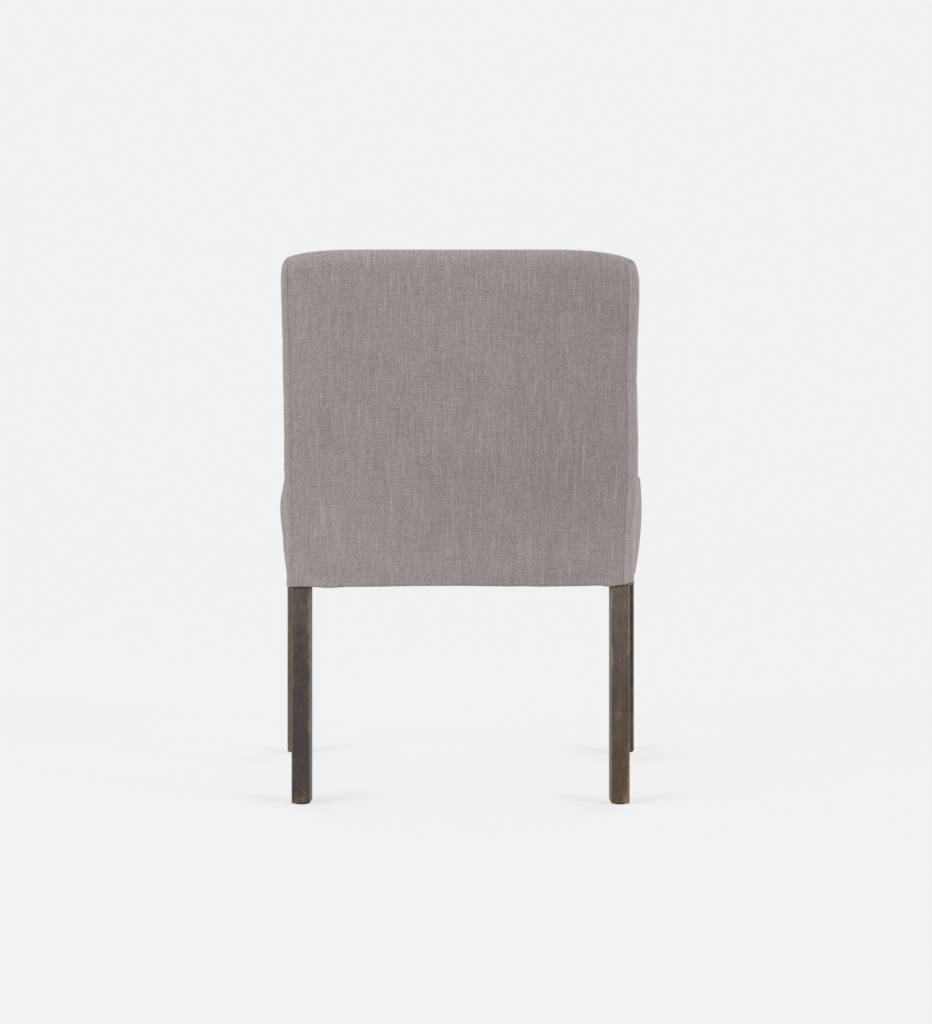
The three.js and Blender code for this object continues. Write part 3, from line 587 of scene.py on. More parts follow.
def back_ring(height, turn, back, seat, inset=0.0):
    """One ring of the back, and how far each point lies round it from the middle of its side"""
    crown_start = back.top - back.top_round
    angle = turn * QUARTER
    narrow = max(0.0, math.cos(angle)) ** (2 / back.crown_power) if turn < 1 else 0.0
    climb = (back.top_round - inset) * math.sin(angle) ** (2 / back.crown_power)
    width = back.half_width - inset - back.top_corner * (1 - math.cos(angle))
    rise = float(share_of(height, seat.edge, crown_start))
    tuck = float(share_of(height, RAIL_TOP, seat.edge))
    rear = back.rear_padding - inset
    front = inset - LEG_DEPTH - float(back_pad(height, back, seat))
    middle, half = (rear + front) / 2, (rear - front) / 2
    belly = back.belly * math.sin(math.pi * rise)
    rear_r = back.corner - inset
    front_r = mix(back.tuck_corner, back.corner, tuck) - inset
    level = np.linspace(-1, 1, ACROSS + 1)[:-1]
    parts = [
        arc(width - rear_r, half - rear_r, rear_r, 0, 1, CORNER),
        (-level * (width - rear_r), np.full(ACROSS, half)),
        arc(rear_r - width, half - rear_r, rear_r, 1, 1, CORNER),
        (np.full(SIDE, -width), line(half - rear_r, front_r - half, SIDE)),
        arc(front_r - width, front_r - half, front_r, 2, 1, CORNER),
        (level * (width - front_r), -half - belly * (1 - level**2)),
        arc(width - front_r, front_r - half, front_r, 3, 1, CORNER),
        (np.full(SIDE, width), line(front_r - half, half - rear_r, SIDE)),
    ]
    x = np.concatenate([p[0] for p in parts])
    depth = np.concatenate([p[1] for p in parts])
    z = height - rise * crest_droop(x, back) + climb + hem_rise(x, height, depth - half)
    rearness = share_of(depth, -half, half)
    bridged = (bridge_at(z, back) - lean_at(z)) * rearness
    wavy = ripple(x, z) * rearness**4 * share_of(height, HEM, HEM + 0.05) * narrow
    y = REAR_FACE + middle + depth * narrow + lean_at(z) + bridged + wavy
    return np.stack([eased(x, z, BACK_SIDES, 0.20, 0.25), y, z], axis=1), np.stack([x, depth], axis=1)


def ring_lengths(flat):
    """Distance round a ring from its first point to each of its points"""
    steps = np.linalg.norm(np.diff(flat, axis=0, append=flat[:1]), axis=1)
    return np.concatenate([[0], np.cumsum(steps)[:-1]]), steps.sum()


def back_grid(back, seat):
    """The plain form of the back as rows of rings, with its weave coordinates and the gap to its seams"""
    crown_start = back.top - back.top_round
    heights = [HEM, *np.arange(HEM + CLOTH, RAIL_TOP, 0.0041), *np.linspace(RAIL_TOP, seat.edge, 24)]
    heights += list(np.linspace(seat.edge, crown_start, 76)[1:])
    between = (heights[0] + heights[1]) / 2
    if len(heights) % 2 == 0:  # the simulation takes every second row, with the first and the last
        heights.insert(1, between)
    turns = np.linspace(0, 1, 200)
    profile = [back_ring(crown_start, t, back, seat)[0][CORNER + ACROSS // 2, 1:] for t in turns]
    rows = [(h, 0.0, HEM_EASE * {HEM: 1.0, between: 0.3}.get(h, 0.0)) for h in heights]
    rows += [(crown_start, t, 0.0) for t in evenly(np.array(profile), 14)[1:]]
    points, around = [], []
    for height, turn, inset in rows:
        ring, flat = back_ring(height, turn, back, seat, inset)
        run, whole = ring_lengths(flat)
        half_side = (flat[0, 1] - flat[-SIDE, 1]) / 2
        left = np.where(run > whole / 2, run - whole, run) + half_side
        right = run[RIGHT_SIDE] - run + half_side
        rear, front = run[CORNER + ACROSS // 2], run[CORNER * 3 + SIDE + ACROSS + ACROSS // 2]
        panel = np.where(np.arange(len(run)) < RIGHT_SIDE, rear - run, run - front)
        points.append(ring)
        around.append((np.where(ring[:, 0] > 0, left, right), panel, np.full(len(run), half_side)))
    points = np.array(points)
    place, panel, half_side = np.array(around).swapaxes(0, 1)
    climbs = np.linalg.norm(np.diff(points, axis=0), axis=2)
    path = np.concatenate([np.zeros((1, points.shape[1])), np.cumsum(climbs, axis=0)])
    wrap_rear = half_side + np.where(points[:, :, 0] > 0, back.gusset_wrap_left, back.gusset_wrap_right)
    wrap_front = half_side + back.gusset_wrap_left
    beside = np.abs(place - (wrap_rear - wrap_front) / 2) - ((wrap_rear + wrap_front) / 2 - STRIP_ROUNDING)
    above = path - (path[len(heights) - 1] + STRIP_ABOVE - STRIP_ROUNDING)
    outside = np.hypot(np.maximum(beside, 0), np.maximum(above, 0))
    gap = outside + np.minimum(np.maximum(beside, above), 0) - STRIP_ROUNDING
    return points, gap, place, panel, path


def smooth_faces(obj):
    obj.data.polygons.foreach_set("use_smooth", np.ones(len(obj.data.polygons), bool))


def grid_faces(rows, columns, ring=False):
    """Faces between the rows of a grid; a ring's columns run on from the last to the first"""
    i, j = np.meshgrid(np.arange(rows - 1), np.arange(columns if ring else columns - 1), indexing="ij")
    low, after = i * columns, (j + 1) % columns
    return np.stack([low + j, low + after, low + columns + after, low + columns + j], axis=-1).reshape(-1, 4)


def tube_faces(rows, columns, half_side, index):
    """Faces of the back's rings and of its underside, with one for each side's level points"""
    start, reach = columns - half_side, half_side + 1
    step = np.arange(reach, columns // 2 - reach)
    rear, front = (start + step) % columns, (start - step) % columns
    across = np.stack([rear, front, (front - 1) % columns, (rear + 1) % columns], axis=1)
    ends = [(middle + np.arange(reach, -reach - 1, -1)) % columns for middle in (start, start + columns // 2)]
    return clean_faces([index[f] for f in (*grid_faces(rows, columns, ring=True), *across, *ends)])


def object_from(name, points, faces):
    mesh = bpy.data.meshes.new(name)
    mesh.from_pydata([tuple(p) for p in points], [], [tuple(int(k) for k in f) for f in faces])
    made = bpy.data.objects.new(name, mesh)
    bpy.context.scene.collection.objects.link(made)
    return made


def apply_all(obj):
    bpy.ops.object.select_all(action="DESELECT")
    obj.select_set(True)
    bpy.context.view_layer.objects.active = obj
    for modifier in list(obj.modifiers):
        bpy.ops.object.modifier_apply(modifier=modifier.name)


def prism_tool(name, outline, low, high, leaning=False, ease=0.0):
    """A prism that cuts room for the frame: its outline in plan, or leaning, in x and up along the posts"""
    count = len(outline)
    if leaning:
        drawn_in = 1 - ease / outline[1][0]
        rings = [(drawn_in, high), (1, high - ease), (1, low)] if ease else [(1, high), (1, low)]
        points = [(a * width, level, b) for width, level in rings for a, b in outline]
    else:
        points = [(a, b, level) for level in (low, high) for a, b in outline]
    sides = grid_faces(len(points) // count, count, ring=True)
    made = object_from(name, points, [*sides, range(count)[::-1], range(len(points) - count, len(points))])
    if leaning:
        made.data.transform(LEANING)
    return made


def block(half, low, high):
    return [(-half, low), (half, low), (half, high), (-half, high)]


def cut(obj, *tool):
    """Takes a prism's room out of a piece"""
    prism = prism_tool(*tool)
    made = obj.modifiers.new("room", "BOOLEAN")
    made.operation, made.solver, made.object = "DIFFERENCE", "EXACT", prism
    apply_all(obj)
    bpy.data.objects.remove(prism)


@contextmanager
def edited(obj):
    """A piece's mesh, open for editing"""
    work = bmesh.new()
    work.from_mesh(obj.data)
    yield work
    work.to_mesh(obj.data)
    work.free()


def fan_large_faces(obj, most=8):
    """Splits faces of many corners from their middle, where it sees them all, so that they divide cleanly"""
    with edited(obj) as work:
        large = []
        for face in work.faces:
            corners = [v.co - face.calc_center_bounds() for v in face.verts]
            turns = [a.cross(b).dot(face.normal) for a, b in zip(corners, corners[1:] + corners[:1])]
            if len(corners) > most and min(turns) > 0:
                large.append(face)
        bmesh.ops.poke(work, faces=large, center_mode="BOUNDS")


def merged(points):
    """One index for each place, however many points share it"""
    keys = np.round(points * 1e6).astype(np.int64)
    _, first, inverse = np.unique(keys, axis=0, return_index=True, return_inverse=True)
    return first, inverse.reshape(-1)


def clean_faces(faces):
    """Faces without their repeated corners, and without those that have no area"""
    kept = []
    for face in faces:
        corners = [int(c) for k, c in enumerate(face) if c != face[k - 1]]
        if len(set(corners)) == len(corners) and len(corners) > 2:
            kept.append(tuple(corners))
    return kept


def swollen(points, faces, held):
    """Where the pressure of the filling brings a cover's points; held ones stay"""
    made = object_from("swelling", points, faces)
    group = made.vertex_groups.new(name="held")
    for index in np.flatnonzero(held > 0):
        group.add([int(index)], float(held[index]), "REPLACE")
    cloth = made.modifiers.new("cloth", "CLOTH").settings
    cloth.vertex_group_mass = "held"
    cloth.use_pressure = True
    cloth.uniform_pressure_force = PRESSURE
    cloth.effector_weights.gravity = 0.0
    cloth.shrink_min = -SPARE_CLOTH  # the cloth is a little large for the form
    for number in range(1, FRAMES + 1):
        bpy.context.scene.frame_set(number)
    apply_all(made)
    found = np.zeros(len(points) * 3)
    made.data.vertices.foreach_get("co", found)
    bpy.data.objects.remove(made)
    bpy.context.scene.frame_set(1)
    return found.reshape(-1, 3)


def finer(grid, ring):
    """The same surface with twice the steps; a ring's columns run on from the last to the first"""
    before, after = (grid[:, -1:], grid[:, :2]) if ring else (grid[:, :1], grid[:, -1:])
    across = with_halves(np.concatenate([before, grid, after], axis=1).swapaxes(0, 1)).swapaxes(0, 1)
    if ring:
        across = across[:, :-1]
    return with_halves(np.concatenate([across[:1], across, across[-1:]]))


def with_halves(rows):
    """Rows with one more between each two, from the four around it; the outermost two are left out"""
    made = np.zeros((2 * len(rows) - 5, *rows.shape[1:]))
    made[::2] = rows[1:-1]
    made[1::2] = (9 * (rows[1:-2] + rows[2:-1]) - rows[:-3] - rows[3:]) / 16
    return made


def capped(moved, most):
    """Moves eased to a largest length"""
    size = np.linalg.norm(moved, axis=-1, keepdims=True) + 1e-9
    return moved * most * np.tanh(size / most) / size


def number_attribute(obj, name, values):
    made = obj.data.attributes.new(name, "FLOAT", "POINT")
    made.data.foreach_set("value", np.asarray(values, np.float32))


def stood_for(piece, finish, slot, *nodes):
    piece.data.materials.append(finish)
    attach(piece, "root")
    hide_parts(*nodes)


class CHAIR_OT_back_upholstery(bpy.types.Operator):
    """Covers and pads the back, with a seam down each side"""

    bl_idname = "chair.back_upholstery"
    bl_label = "Back Upholstery"

    def execute(self, context):
        back, seat = context.scene.chair_back, context.scene.chair_seat
        points, gap, place, panel, path = back_grid(back, seat)
        rows, columns, _ = points.shape
        first, index = merged(points.reshape(-1, 3))
        points = points + self.filling(points[::2, ::2], gap[::2, ::2], back)
        faces = tube_faces(rows, columns, SIDE // 2, index)
        made = object_from("back_upholstery", points.reshape(-1, 3)[first], faces)
        number_attribute(made, "seam_gap", gap.reshape(-1)[first])
        self.lay_back_weave(made, gap, place, panel, path, first)
        self.make_room(made)
        fan_large_faces(made)
        smooth_faces(made)
        # 0.03 and 0.265 are the painted light on the left and the right side strips
        stood_for(made, cover_finish("back_cover_cloth", 0.03, 0.265), "cloth", "back_cover", "back_foam")
        return {"FINISHED"}

    def filling(self, coarse, gap, back):
        """How the filling moves the plain form: fully on the inside back, hardly outside and at the sides"""
        rows, columns, _ = coarse.shape
        flat = coarse.reshape(-1, 3)
        first, index = merged(flat)
        order = np.arange(columns)[None, :]
        front = (order >= CORNER + (SIDE + ACROSS) // 2) & (order < (CORNER * 4 + ACROSS * 2 + SIDE) // 2)
        z = coarse[:, :, 2]
        held = np.where(np.abs(gap) < SEAM_HELD, 1.0, 0.0)
        held = np.maximum(held, 1 - share_of(z, HEM + 0.003, HEM + 0.012))  # along the hem
        held = np.maximum(held, np.where(front, 1 - share_of(z, *BEHIND_SEAT), 0))
        faces = tube_faces(rows, columns, SIDE // 4, index)
        moved = swollen(flat[first], faces, held.reshape(-1)[first])[index] - flat[first][index]
        zone = np.where(front, 1.0, np.where(gap < 0, 0.12, 0.3))
        zone = zone * (1 - share_of(z, back.top - 0.055, back.top - 0.012) * 0.85)
        return finer(capped(moved.reshape(coarse.shape), back.puff) * zone[:, :, None], True)

    def lay_back_weave(self, made, gap, place, panel, path, first):
        """Along the rear and front panels, with the side strips cut from their own piece of cloth"""
        behind = np.arange(gap.shape[1]) < RIGHT_SIDE
        down = (path[-1] - path) * np.where(behind, 1, -1)
        values = np.stack([panel, down, place + 1.37, path + 0.83, gap], axis=-1).reshape(-1, 5)[first]
        corners, face = corners_of(made)
        values = values[corners]
        on_strip = np.bincount(face, weights=values[:, 4]) / np.bincount(face) < 0
        lay_weave(made, np.where(on_strip[face][:, None], values[:, 2:4], values[:, :2]))

    def make_room(self, made):
        """The posts, rails, webbing and board stand inside"""
        half = REAR_OUTER + CLEARANCE
        rise = POST_LENGTH + CLEARANCE
        arch = [(half * math.cos(t), rise + CREST_ARCH * math.sin(t)) for t in np.linspace(0, math.pi, 13)]
        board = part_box("outside_back_board")
        board_top = (board[1].z - RAIL_TOP) / math.cos(LEAN) + CLEARANCE
        board_half = board[1].x + CLEARANCE
        rear = REAR_FACE + CLEARANCE
        frame_outline = [(-half, 0.0), (half, 0.0), *arch]
        cut(made, "frame_room", frame_outline, -POST_DEPTH - STRAP_STACK, CLEARANCE, True, POST_EASE)
        cut(made, "board_room", block(board_half, -OVERLAP, board_top), -OVERLAP, BOARD_BACK, True)
        before = REAR_LEG_FRONT - 0.1  # well clear of the inside back
        cut(made, "lower_room", block(half, before, rear), BELOW_HEM, RAIL_TOP + FOAM_START)
        plan = block(board_half, rear - OVERLAP, REAR_FACE + BOARD_BACK)
        cut(made, "lower_board_room", plan, BELOW_HEM, RAIL_TOP + OVERLAP)


def corners_of(made):
    """The vertex and the face of each face corner"""
    corners = np.zeros(len(made.data.loops), np.int64)
    made.data.loops.foreach_get("vertex_index", corners)
    totals = np.zeros(len(made.data.polygons), np.int64)
    made.data.polygons.foreach_get("loop_total", totals)
    return corners, np.repeat(np.arange(len(totals)), totals)


def lay_weave(made, values):
    """Lays weave coordinates on a piece, a pair for each face corner"""
    layer = made.data.uv_layers.new(name="weave")
    layer.data.foreach_set("uv", values.astype(np.float32).reshape(-1))


SEAT_SIDE, SEAT_ACROSS, SEAT_CORNER = 84, 128, 16  # steps of a ring of the seat


def seat_ring(height, back, seat, inset=0.0):
    """One ring of the seat's band, anticlockwise from the left front corner's rear end"""
    rise = float(share_of(height, HEM, seat.edge))
    proud = seat.hem_proud + seat.bulge * math.sin(math.pi * 0.72 * rise)  # over the rails
    radius = mix(seat.hem_corner, seat.corner, rise**2) - inset
    front = FRONT_FACE - proud + inset
    pad = float(back_pad(height, back, seat))
    rear = REAR_FACE + float(lean_at(height)) - LEG_DEPTH - pad - seat.gap - inset
    flat = FRONT_OUTER + proud - inset - radius
    side_y = np.append(line(front + radius, rear, SEAT_SIDE), rear)
    padding = mix(seat.side_padding, proud, share_of(REAR_FACE - side_y, REAR_FACE - rear, seat.blend))
    side_x = side_outer(side_y) + padding - inset
    corner_x, corner_y = arc(flat, front + radius, radius, 3, 1, SEAT_CORNER)
    level = np.linspace(-1, 1, SEAT_ACROSS - SEAT_CORNER + 1)[:-1]
    across = line(side_x[-1], -side_x[-1], SEAT_ACROSS)
    x = np.concatenate([side_x[:-1], across, -side_x[::-1], -corner_x[:0:-1], level * flat, corner_x])
    front_y = front - seat.front_crown * (1 - level**2)
    y = np.concatenate([side_y[:-1], across * 0 + rear, side_y[::-1], corner_y[:0:-1], front_y, corner_y])
    return np.stack([eased(x, height, SEAT_SIDES, 0.15, 0.24), y, np.full(len(x), height)], axis=1)


def seat_top(ring, seat):
    """The seat's top as a grid that ends in the ring of its seam"""
    half = SEAT_CORNER // 2
    deep, wide = SEAT_SIDE + half, SEAT_ACROSS
    rolled = np.roll(ring, half, axis=0)
    left = rolled[: deep + 1]
    rear = rolled[deep : deep + wide + 1]
    right = rolled[deep + wide : 2 * deep + wide + 1]
    front = np.concatenate([rolled[2 * deep + wide :], rolled[:1]])
    s, t = np.linspace(0, 1, wide + 1), np.linspace(0, 1, deep + 1)
    across, along = np.meshgrid(s, t)  # from the right to the left, and from the front to the rear
    low, high = front[None, :, :], rear[::-1][None, :, :]
    near, far = right[::-1][:, None, :], left[:, None, :]
    a, b = across[:, :, None], along[:, :, None]
    corners = (1 - a) * (1 - b) * front[0] + a * (1 - b) * front[-1] + (1 - a) * b * right[0] + a * b * rear[0]
    grid = (1 - b) * low + b * high + (1 - a) * near + a * far - corners
    out = (np.abs(2 * across - 1) ** 8 + np.abs(2 * along - 1) ** 8) ** (1 / 8)
    out = np.minimum(out, 1)
    climb = seat.crown * (1 - out**6) ** (1 / 2.2)
    grid[:, :, 2] += climb
    return grid


def joined(band, top):
    return np.concatenate([band.reshape(-1, 3), top.reshape(-1, 3)])


def seat_faces(band, top, index):
    """The band's faces, the top's and the one below, by the index of each place"""
    rows, columns, _ = band.shape
    quads = [grid_faces(rows, columns, ring=True), grid_faces(*top.shape[:2]) + rows * columns]
    return clean_faces([*index[np.concatenate(quads)], index[:columns][::-1]])


class CHAIR_OT_seat_upholstery(bpy.types.Operator):
    """Covers and pads the seat, with a seam round its top"""

    bl_idname = "chair.seat_upholstery"
    bl_label = "Seat Upholstery"

    def execute(self, context):
        back, seat = context.scene.chair_back, context.scene.chair_seat
        heights = [HEM, *np.linspace(HEM + CLOTH, seat.edge, 44)]
        band = np.array([seat_ring(h, back, seat, HEM_EASE if h == HEM else 0.0) for h in heights])
        top = seat_top(band[-1], seat)
        plain = joined(band, top)
        first, index = merged(plain)
        flat = plain + self.filling(band[::2, ::2], top[::2, ::2], seat)
        made = object_from("seat_upholstery", flat[first], seat_faces(band, top, index))
        rise = np.concatenate([[0], np.cumsum(np.linalg.norm(np.diff(band, axis=0), axis=2).mean(axis=1))])
        below_seam = np.repeat(rise - rise[-1], band.shape[1])
        inside_seam = np.linalg.norm(top - top_edge(top), axis=2).reshape(-1)
        number_attribute(made, "seam_gap", np.concatenate([below_seam, inside_seam])[first])
        self.lay_seat_weave(made, band, top, rise, first)
        cut(made, "rail_room", frame_plan(), BELOW_HEM, FOAM_BOTTOM)  # the rails, legs, webbing and deck
        fan_large_faces(made)
        smooth_faces(made)
        # -0.03 and -0.08 are painted shade on the seat's band, on the left and on the right
        stood_for(made, cover_finish("seat_cover_cloth", -0.03, -0.08), "cloth", "seat_cover", "seat_foam")
        return {"FINISHED"}

    def filling(self, band, top, seat):
        """How the filling moves the plain form: fully on top, less in front and hardly at the sides"""
        plain = joined(band, top)
        first, index = merged(plain)
        ring_count = band.shape[0] * band.shape[1]
        _, y, z = plain.T
        on_band = np.arange(len(plain)) < ring_count
        rear = y > band[0, :, 1].max() - 0.004  # against the back
        held = np.zeros(len(first))
        np.maximum.at(held, index, on_band & (rear | (z > seat.edge - 0.0005) | (z < HEM + 0.004)))
        moved = swollen(plain[first], seat_faces(band, top, index), held)[index] - plain[first][index]
        frontness = 1 - share_of(y, FRONT_FACE + 0.004, FRONT_FACE + 0.05)
        moved = capped(moved, seat.puff) * np.where(on_band, 0.12 + 0.5 * frontness, 1.0)[:, None]
        moved[:, 0] *= np.where(on_band, 0.3, 1.0)  # the sides' outline is known
        fine_band = finer(moved[:ring_count].reshape(band.shape), True)
        return joined(fine_band, finer(moved[ring_count:].reshape(top.shape), False))

    def lay_seat_weave(self, made, band, top, rise, first):
        """The top's threads run with the chair, the band's round it"""
        rows, columns, _ = band.shape
        run, _ = ring_lengths(band[-1][:, :2])
        places = joined(band, top)[:, :2]
        around = places * 0
        around[: rows * columns] = np.stack([np.tile(run, rows) + 2.11, np.repeat(rise, columns)], axis=1)
        corners, face = corners_of(made)
        on_top = face >= (rows - 1) * columns
        lay_weave(made, np.where(on_top[:, None], places[first][corners], around[first][corners]))


def top_edge(top):
    """For each point of the seat's top, the point of its edge that lies nearest along its row or column"""
    i, j = np.indices(top.shape[:2])
    options = [top[0, j], top[-1, j], top[i, 0], top[i, -1]]
    best = np.argmin([np.linalg.norm(top - o, axis=2) for o in options], axis=0)
    return np.choose(best[:, :, None], options)


def mirrored(half):
    """A whole outline from its left half"""
    return half + [(-x, y) for x, y in reversed(half)]


def frame_plan():
    """The frame's outline in plan, open at the rear"""
    front, side = FRONT_OUTER + CLEARANCE, REAR_OUTER + CLEARANCE
    half = [(front, FRONT_FACE - CLEARANCE), (front, FRONT_LEG_BACK)]
    return mirrored([*half, (side, REAR_LEG_FRONT), (side, REAR_FACE + 0.02)])


def carry(finish, *names):
    """A better finish on solids that stay as they are"""
    for name in names:
        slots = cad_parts[name].data.materials
        slots.clear()
        slots.append(finish)


class CHAIR_OT_legs(bpy.types.Operator):
    """Stains the legs and finishes the glides under them"""

    bl_idname = "chair.legs"
    bl_label = "Legs and Glides"

    def execute(self, context):
        for name, *shades in (  # tint, painted shade towards the foot, wear, warmth
            ("rear_post_left", 0.36, 0.94, 0.8, 0.0),
            ("rear_post_right", 0.70, 0.66, 1.4, 0.5),
            ("front_leg_left", 0.98, 0.10, 1.0, 0.0),
            ("front_leg_right", 0.16, 0.05, 1.0, 0.0),
        ):
            carry(stained_finish(name + "_stain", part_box(name), *shades), name)
        carry(glide_finish("moulded_nylon"), *["glide_" + corner for corner in CORNERS])
        return {"FINISHED"}


class CHAIR_OT_hidden_frame(bpy.types.Operator):
    """Finishes the rails, blocks, screws and board inside the covers"""

    bl_idname = "chair.hidden_frame"
    bl_label = "Hidden Frame"

    def execute(self, context):
        carry(sawn_finish("sawn_across", "x"), "front_rail", "rear_rail", "crest_rail", "lower_back_rail")
        carry(sawn_finish("sawn_along", "y"), "side_rail_left", "side_rail_right")
        carry(sawn_finish("sawn_upright", "z"), *["corner_block_" + corner for corner in CORNERS])
        screws = [f"block_screw_{corner}_{way}" for corner in CORNERS for way in ("cross", "side")]
        carry(zinc_finish("zinc_plating"), *screws)
        carry(board_finish("fibreboard"), "outside_back_board")
        return {"FINISHED"}


def sheet_plan(inset, notched):
    """A flat sheet's outline in plan, notched round the legs that pass it"""
    gap = CLEARANCE + inset / 2
    behind = REAR_LEG_FRONT - gap
    inside, front = REAR_INNER - gap, FRONT_FACE + inset
    half = [(inside, REAR_FACE - inset), (inside, behind), (float(side_outer(behind)) - inset, behind)]
    if notched:
        notch = FRONT_LEG_BACK + gap
        half += [(float(side_outer(FRONT_LEG_BACK)) - inset, notch), (FRONT_INNER - gap, notch)]
        half += [(FRONT_INNER - gap, front)]
    else:
        half += [(FRONT_OUTER - inset, FRONT_LEG_BACK), (FRONT_OUTER - inset, front)]
    return mirrored(half)


def area_of(plan):
    return abs(sum(a[0] * b[1] - b[0] * a[1] for a, b in zip(plan, plan[1:] + plan[:1]))) / 2


def thicken(obj, thickness):
    made = obj.modifiers.new("thickness", "SOLIDIFY")
    made.thickness, made.offset = thickness, 0


def sheet_piece(name, plan, z, sag, step=0.012):
    """A sheet of cloth cut to a plan, sagging a little in its middle"""
    made = object_from(name, [(x, y, z) for x, y in plan], [range(len(plan))])
    with edited(made) as work:
        low, high = (Vector(map(pick, zip(*[v.co for v in work.verts]))) for pick in (min, max))
        for axis in (0, 1):
            normal = Vector((1 - axis, axis, 0))
            for place in np.arange(low[axis] + step, high[axis] - step / 2, step):
                every = work.verts[:] + work.edges[:] + work.faces[:]
                bmesh.ops.bisect_plane(work, geom=every, plane_co=normal * float(place), plane_no=normal)
        for vert in work.verts:
            across = (vert.co.x - low.x) / (high.x - low.x)
            along = (vert.co.y - low.y) / (high.y - low.y)
            ripple = math.sin(vert.co.x * 61) * math.sin(vert.co.y * 47 + 1.3) * 0.12
            vert.co.z -= sag * (math.sin(math.pi * across) * math.sin(math.pi * along)) ** 0.7 * (1 + ripple)
        bmesh.ops.recalc_face_normals(work, faces=work.faces[:])
    thicken(made, SHEET_THICKNESS)
    apply_all(made)
    smooth_faces(made)
    return made


class CHAIR_OT_sheets(bpy.types.Operator):
    """Lays the hessian deck on the webbing and stretches the dust cover under the seat"""

    bl_idname = "chair.sheets"
    bl_label = "Deck and Dust Cover"

    def execute(self, context):
        black = (0.006, 0.006, 0.0065), (0.028, 0.028, 0.029)
        hessian = (0.25, 0.155, 0.062), (0.56, 0.41, 0.215)
        for node, inset, notched, sag, tones, pitch, slot in (
            ("dust_cover", 0.008, True, 0.0012, black, 0.0016, "dust_cloth"),
            ("seat_deck_cloth", 0.005, False, 0.0001, hessian, 0.0026, "deck_cloth"),
        ):
            low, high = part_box(node)
            plan = sheet_plan(inset, notched)
            made = sheet_piece(node + "_sheet", plan, (low.z + high.z) / 2, sag)
            stood_for(made, sheet_finish(slot + "_weave", *tones, pitch), slot, node)
            area_of(plan)
        return {"FINISHED"}


class CHAIR_OT_webbing(bpy.types.Operator):
    """Weaves the straps that carry the seat and the back"""

    bl_idname = "chair.webbing"
    bl_label = "Webbing"

    def execute(self, context):
        finish = webbing_finish("elastic_webbing")
        for name in sorted(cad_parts):
            if "_strap_" in name:
                stood_for(self.strap(name), finish, "webbing", name)
        return {"FINISHED"}

    def strap(self, name):
        """One strap, over and under its neighbours as its solid runs"""
        turned = LEANING if name.startswith("back") else Matrix.Identity(4)
        co = np.array([(turned.inverted() @ v.co)[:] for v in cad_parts[name].data.vertices])
        low, high = co.min(axis=0), co.max(axis=0)
        along, thin = int(np.argmax(high - low)), int(np.argmin(high - low))
        across = 3 - along - thin
        stops, stop = np.unique(np.round(co[:, along], 5), return_inverse=True)
        levels = [(co[stop == k, thin].min() + co[stop == k, thin].max()) / 2 for k in range(len(stops))]
        run = np.linspace(low[along], high[along], max(2, int((high - low)[along] / 0.006)) + 1)
        level = np.pad(np.interp(run, stops, levels), 2, mode="edge")
        middle, half = (low[across] + high[across]) / 2, (high[across] - low[across]) / 2
        widths = np.array([-1, -0.96, -0.5, 0, 0.5, 0.96, 1]) * half
        points = np.zeros((len(run), len(widths), 3))
        points[:, :, along] = run[:, None]
        points[:, :, across] = middle + widths
        points[:, :, thin] = np.convolve(level, np.ones(5) / 5, mode="valid")[:, None]
        flat = points.reshape(-1, 3)
        made = object_from(name + "_webbing", flat, grid_faces(len(run), len(widths)))
        lay_weave(made, flat[corners_of(made)[0]][:, [along, across]] - (0, middle))
        thicken(made, STRAP_THICKNESS)
        soften = made.modifiers.new("selvedge", "BEVEL")
        soften.width, soften.segments, soften.limit_method = 0.0004, 2, "ANGLE"
        apply_all(made)
        made.data.transform(turned)
        with edited(made) as work:
            bmesh.ops.recalc_face_normals(work, faces=work.faces[:])
        smooth_faces(made)
        return made


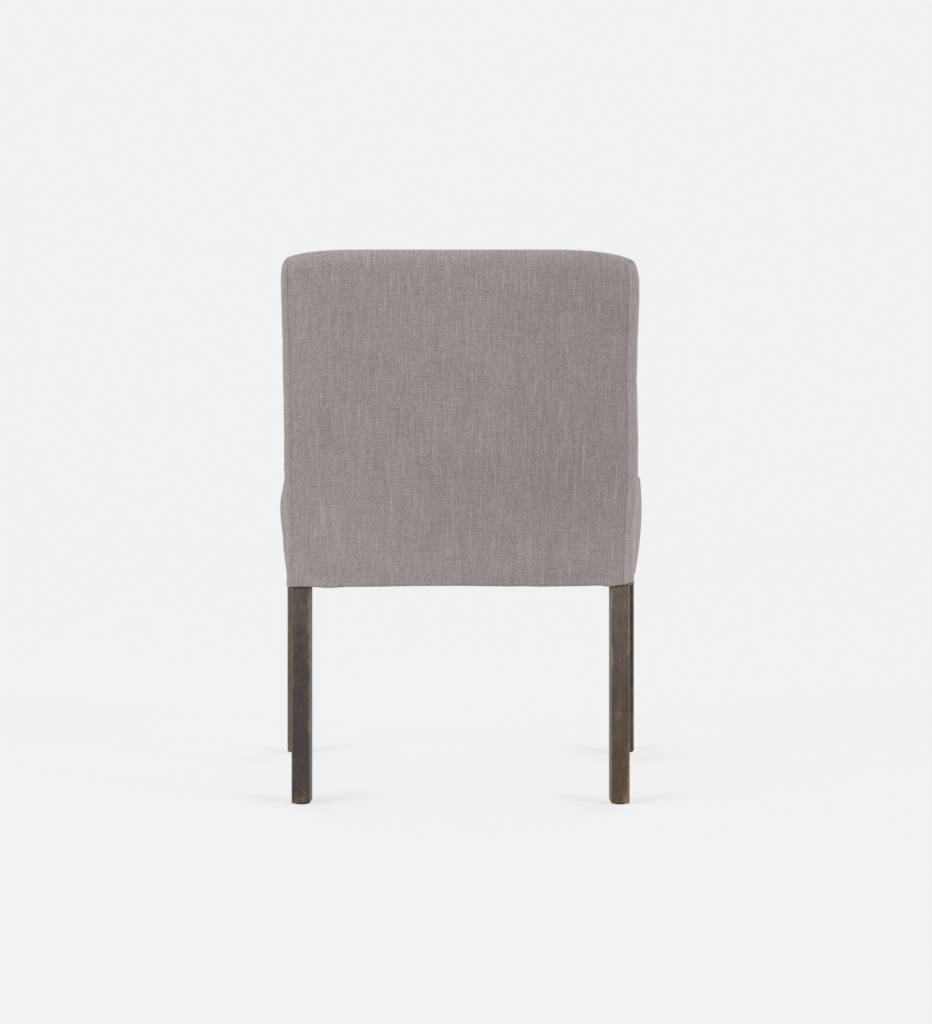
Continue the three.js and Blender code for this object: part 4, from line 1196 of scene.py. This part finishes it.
class CHAIR_OT_studio(bpy.types.Operator):
    """Sets the floor, the lights and the camera"""

    bl_idname = "chair.studio"
    bl_label = "Studio"

    def execute(self, context):
        look = context.scene.chair_studio
        self.camera(look)
        self.lights(look)
        self.floor(look)
        self.world(look)
        context.scene.view_settings.view_transform = "Standard"
        return {"FINISHED"}

    def camera(self, look):
        place = (0, REAR_FACE + look.distance, look.eye)
        bpy.ops.object.camera_add(location=place, rotation=(QUARTER, 0, math.pi))
        made = bpy.context.active_object
        made.name = "photograph_camera"
        made.data.lens, made.data.sensor_width, made.data.shift_x = look.lens, 36.0, look.shift
        bpy.context.scene.camera = made

    def lights(self, look):
        """Two soft suns low at either side, wide washes beside and before, and a small light near the left"""
        for name, strength, azimuth, width in (
            ("left_light", look.left, 34, look.softness),
            ("right_light", look.right, 150, look.softness),
            ("left_wash", look.left_wash, -10, look.spread),
            ("right_wash", look.right_wash, 190, look.spread),
            ("front_wash", look.front_wash, -90, look.spread),
        ):
            turn, level = math.radians(azimuth), math.cos(look.climb)
            towards = Vector((math.cos(turn) * level, math.sin(turn) * level, math.sin(look.climb)))
            self.light(name, "SUN", towards * 4, towards, strength).angle = width
        place = Vector((1.5, REAR_FACE + 1.1, 1.20))
        near = self.light("near_light", "AREA", place, place - Vector((0.1, REAR_FACE, 0.62)), look.near)
        near.shape, near.size, near.size_y = "RECTANGLE", 0.9, 1.3

    def light(self, name, kind, place, towards, strength):
        """A light that shines against a direction"""
        bpy.ops.object.light_add(type=kind, location=place)
        made = bpy.context.active_object
        made.name = name
        made.rotation_euler = towards.to_track_quat("Z", "Y").to_euler()
        made.data.energy = strength
        return made.data

    def floor(self, look):
        """A floor that the camera sees at an even tone, with little of its shadow but at the feet"""
        bpy.ops.mesh.primitive_plane_add(size=60, location=(0, 0, 0))
        made = bpy.context.active_object
        made.name = "floor"
        finish = Finish("pale_floor")
        x, y, _ = finish.place()
        nearest = None
        for name in ("front_leg_left", "front_leg_right", "rear_post_left", "rear_post_right"):
            low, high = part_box(name)
            away = ((x - (low.x + high.x) / 2) ** 2.0 + (y - (low.y + LEG_DEPTH / 2)) ** 2.0) ** 0.5
            nearest = away if nearest is None else nearest.least(away)
        shown = look.foot_shadow + nearest.ramp(0.06, look.foot_reach) * (look.shadow - look.foot_shadow)
        level = (look.backdrop - shown * look.open_floor) / (1 - shown)
        plain = finish.node("ShaderNodeBsdfDiffuse", {"Color": (0.40, 0.40, 0.40)})
        glow = finish.node("ShaderNodeEmission", {"Color": level, "Strength": 1.0})
        made.data.materials.append(finish.end_in_mix(finish.seen_straight() * (1 - shown), plain, glow))

    def world(self, look):
        """Even light from all round, seen as the backdrop"""
        finish = Finish("studio", "worlds", "ShaderNodeOutputWorld")
        even = finish.node("ShaderNodeBackground", {"Color": (1.0, 1.0, 1.0), "Strength": look.fill})
        pale = finish.node("ShaderNodeBackground", {"Color": (look.backdrop,) * 3, "Strength": 1.0})
        bpy.context.scene.world = finish.end_in_mix(finish.seen_straight(), even, pale)


BUILDERS = (
    CHAIR_OT_studio,
    CHAIR_OT_legs,
    CHAIR_OT_hidden_frame,
    CHAIR_OT_webbing,
    CHAIR_OT_sheets,
    CHAIR_OT_seat_upholstery,
    CHAIR_OT_back_upholstery,
)


class CHAIR_PT_builder(bpy.types.Panel):
    """Lists the steps that build the chair and the sizes that they use"""

    bl_idname = "CHAIR_PT_builder"
    bl_label = "Parsons Chair"
    bl_space_type = "VIEW_3D"
    bl_region_type = "UI"
    bl_category = "Chair"

    def draw(self, context):
        for builder in BUILDERS:
            self.layout.operator(builder.bl_idname)
        for name in GROUPS:
            group = getattr(context.scene, name)
            box = self.layout.box()
            for key in group.bl_rna.properties.keys():
                if key not in ("rna_type", "name"):
                    box.prop(group, key)


GROUPS = {
    "chair_back": BackForm,
    "chair_seat": SeatForm,
    "chair_cover": CoverLook,
    "chair_wood": WoodLook,
    "chair_studio": StudioLook,
}


def register():
    for group in (*GROUPS.values(), *BUILDERS, CHAIR_PT_builder):
        bpy.utils.register_class(group)
    for name, group in GROUPS.items():
        setattr(bpy.types.Scene, name, PointerProperty(type=group))


def unregister():
    for name in GROUPS:
        delattr(bpy.types.Scene, name)
    for group in reversed((*GROUPS.values(), *BUILDERS, CHAIR_PT_builder)):
        bpy.utils.unregister_class(group)


def main():
    register()
    bpy.ops.chair.studio()
    bpy.ops.chair.legs()
    bpy.ops.chair.hidden_frame()
    bpy.ops.chair.webbing()
    bpy.ops.chair.sheets()
    bpy.ops.chair.seat_upholstery()
    bpy.ops.chair.back_upholstery()


if __name__ == "__main__":
    main()
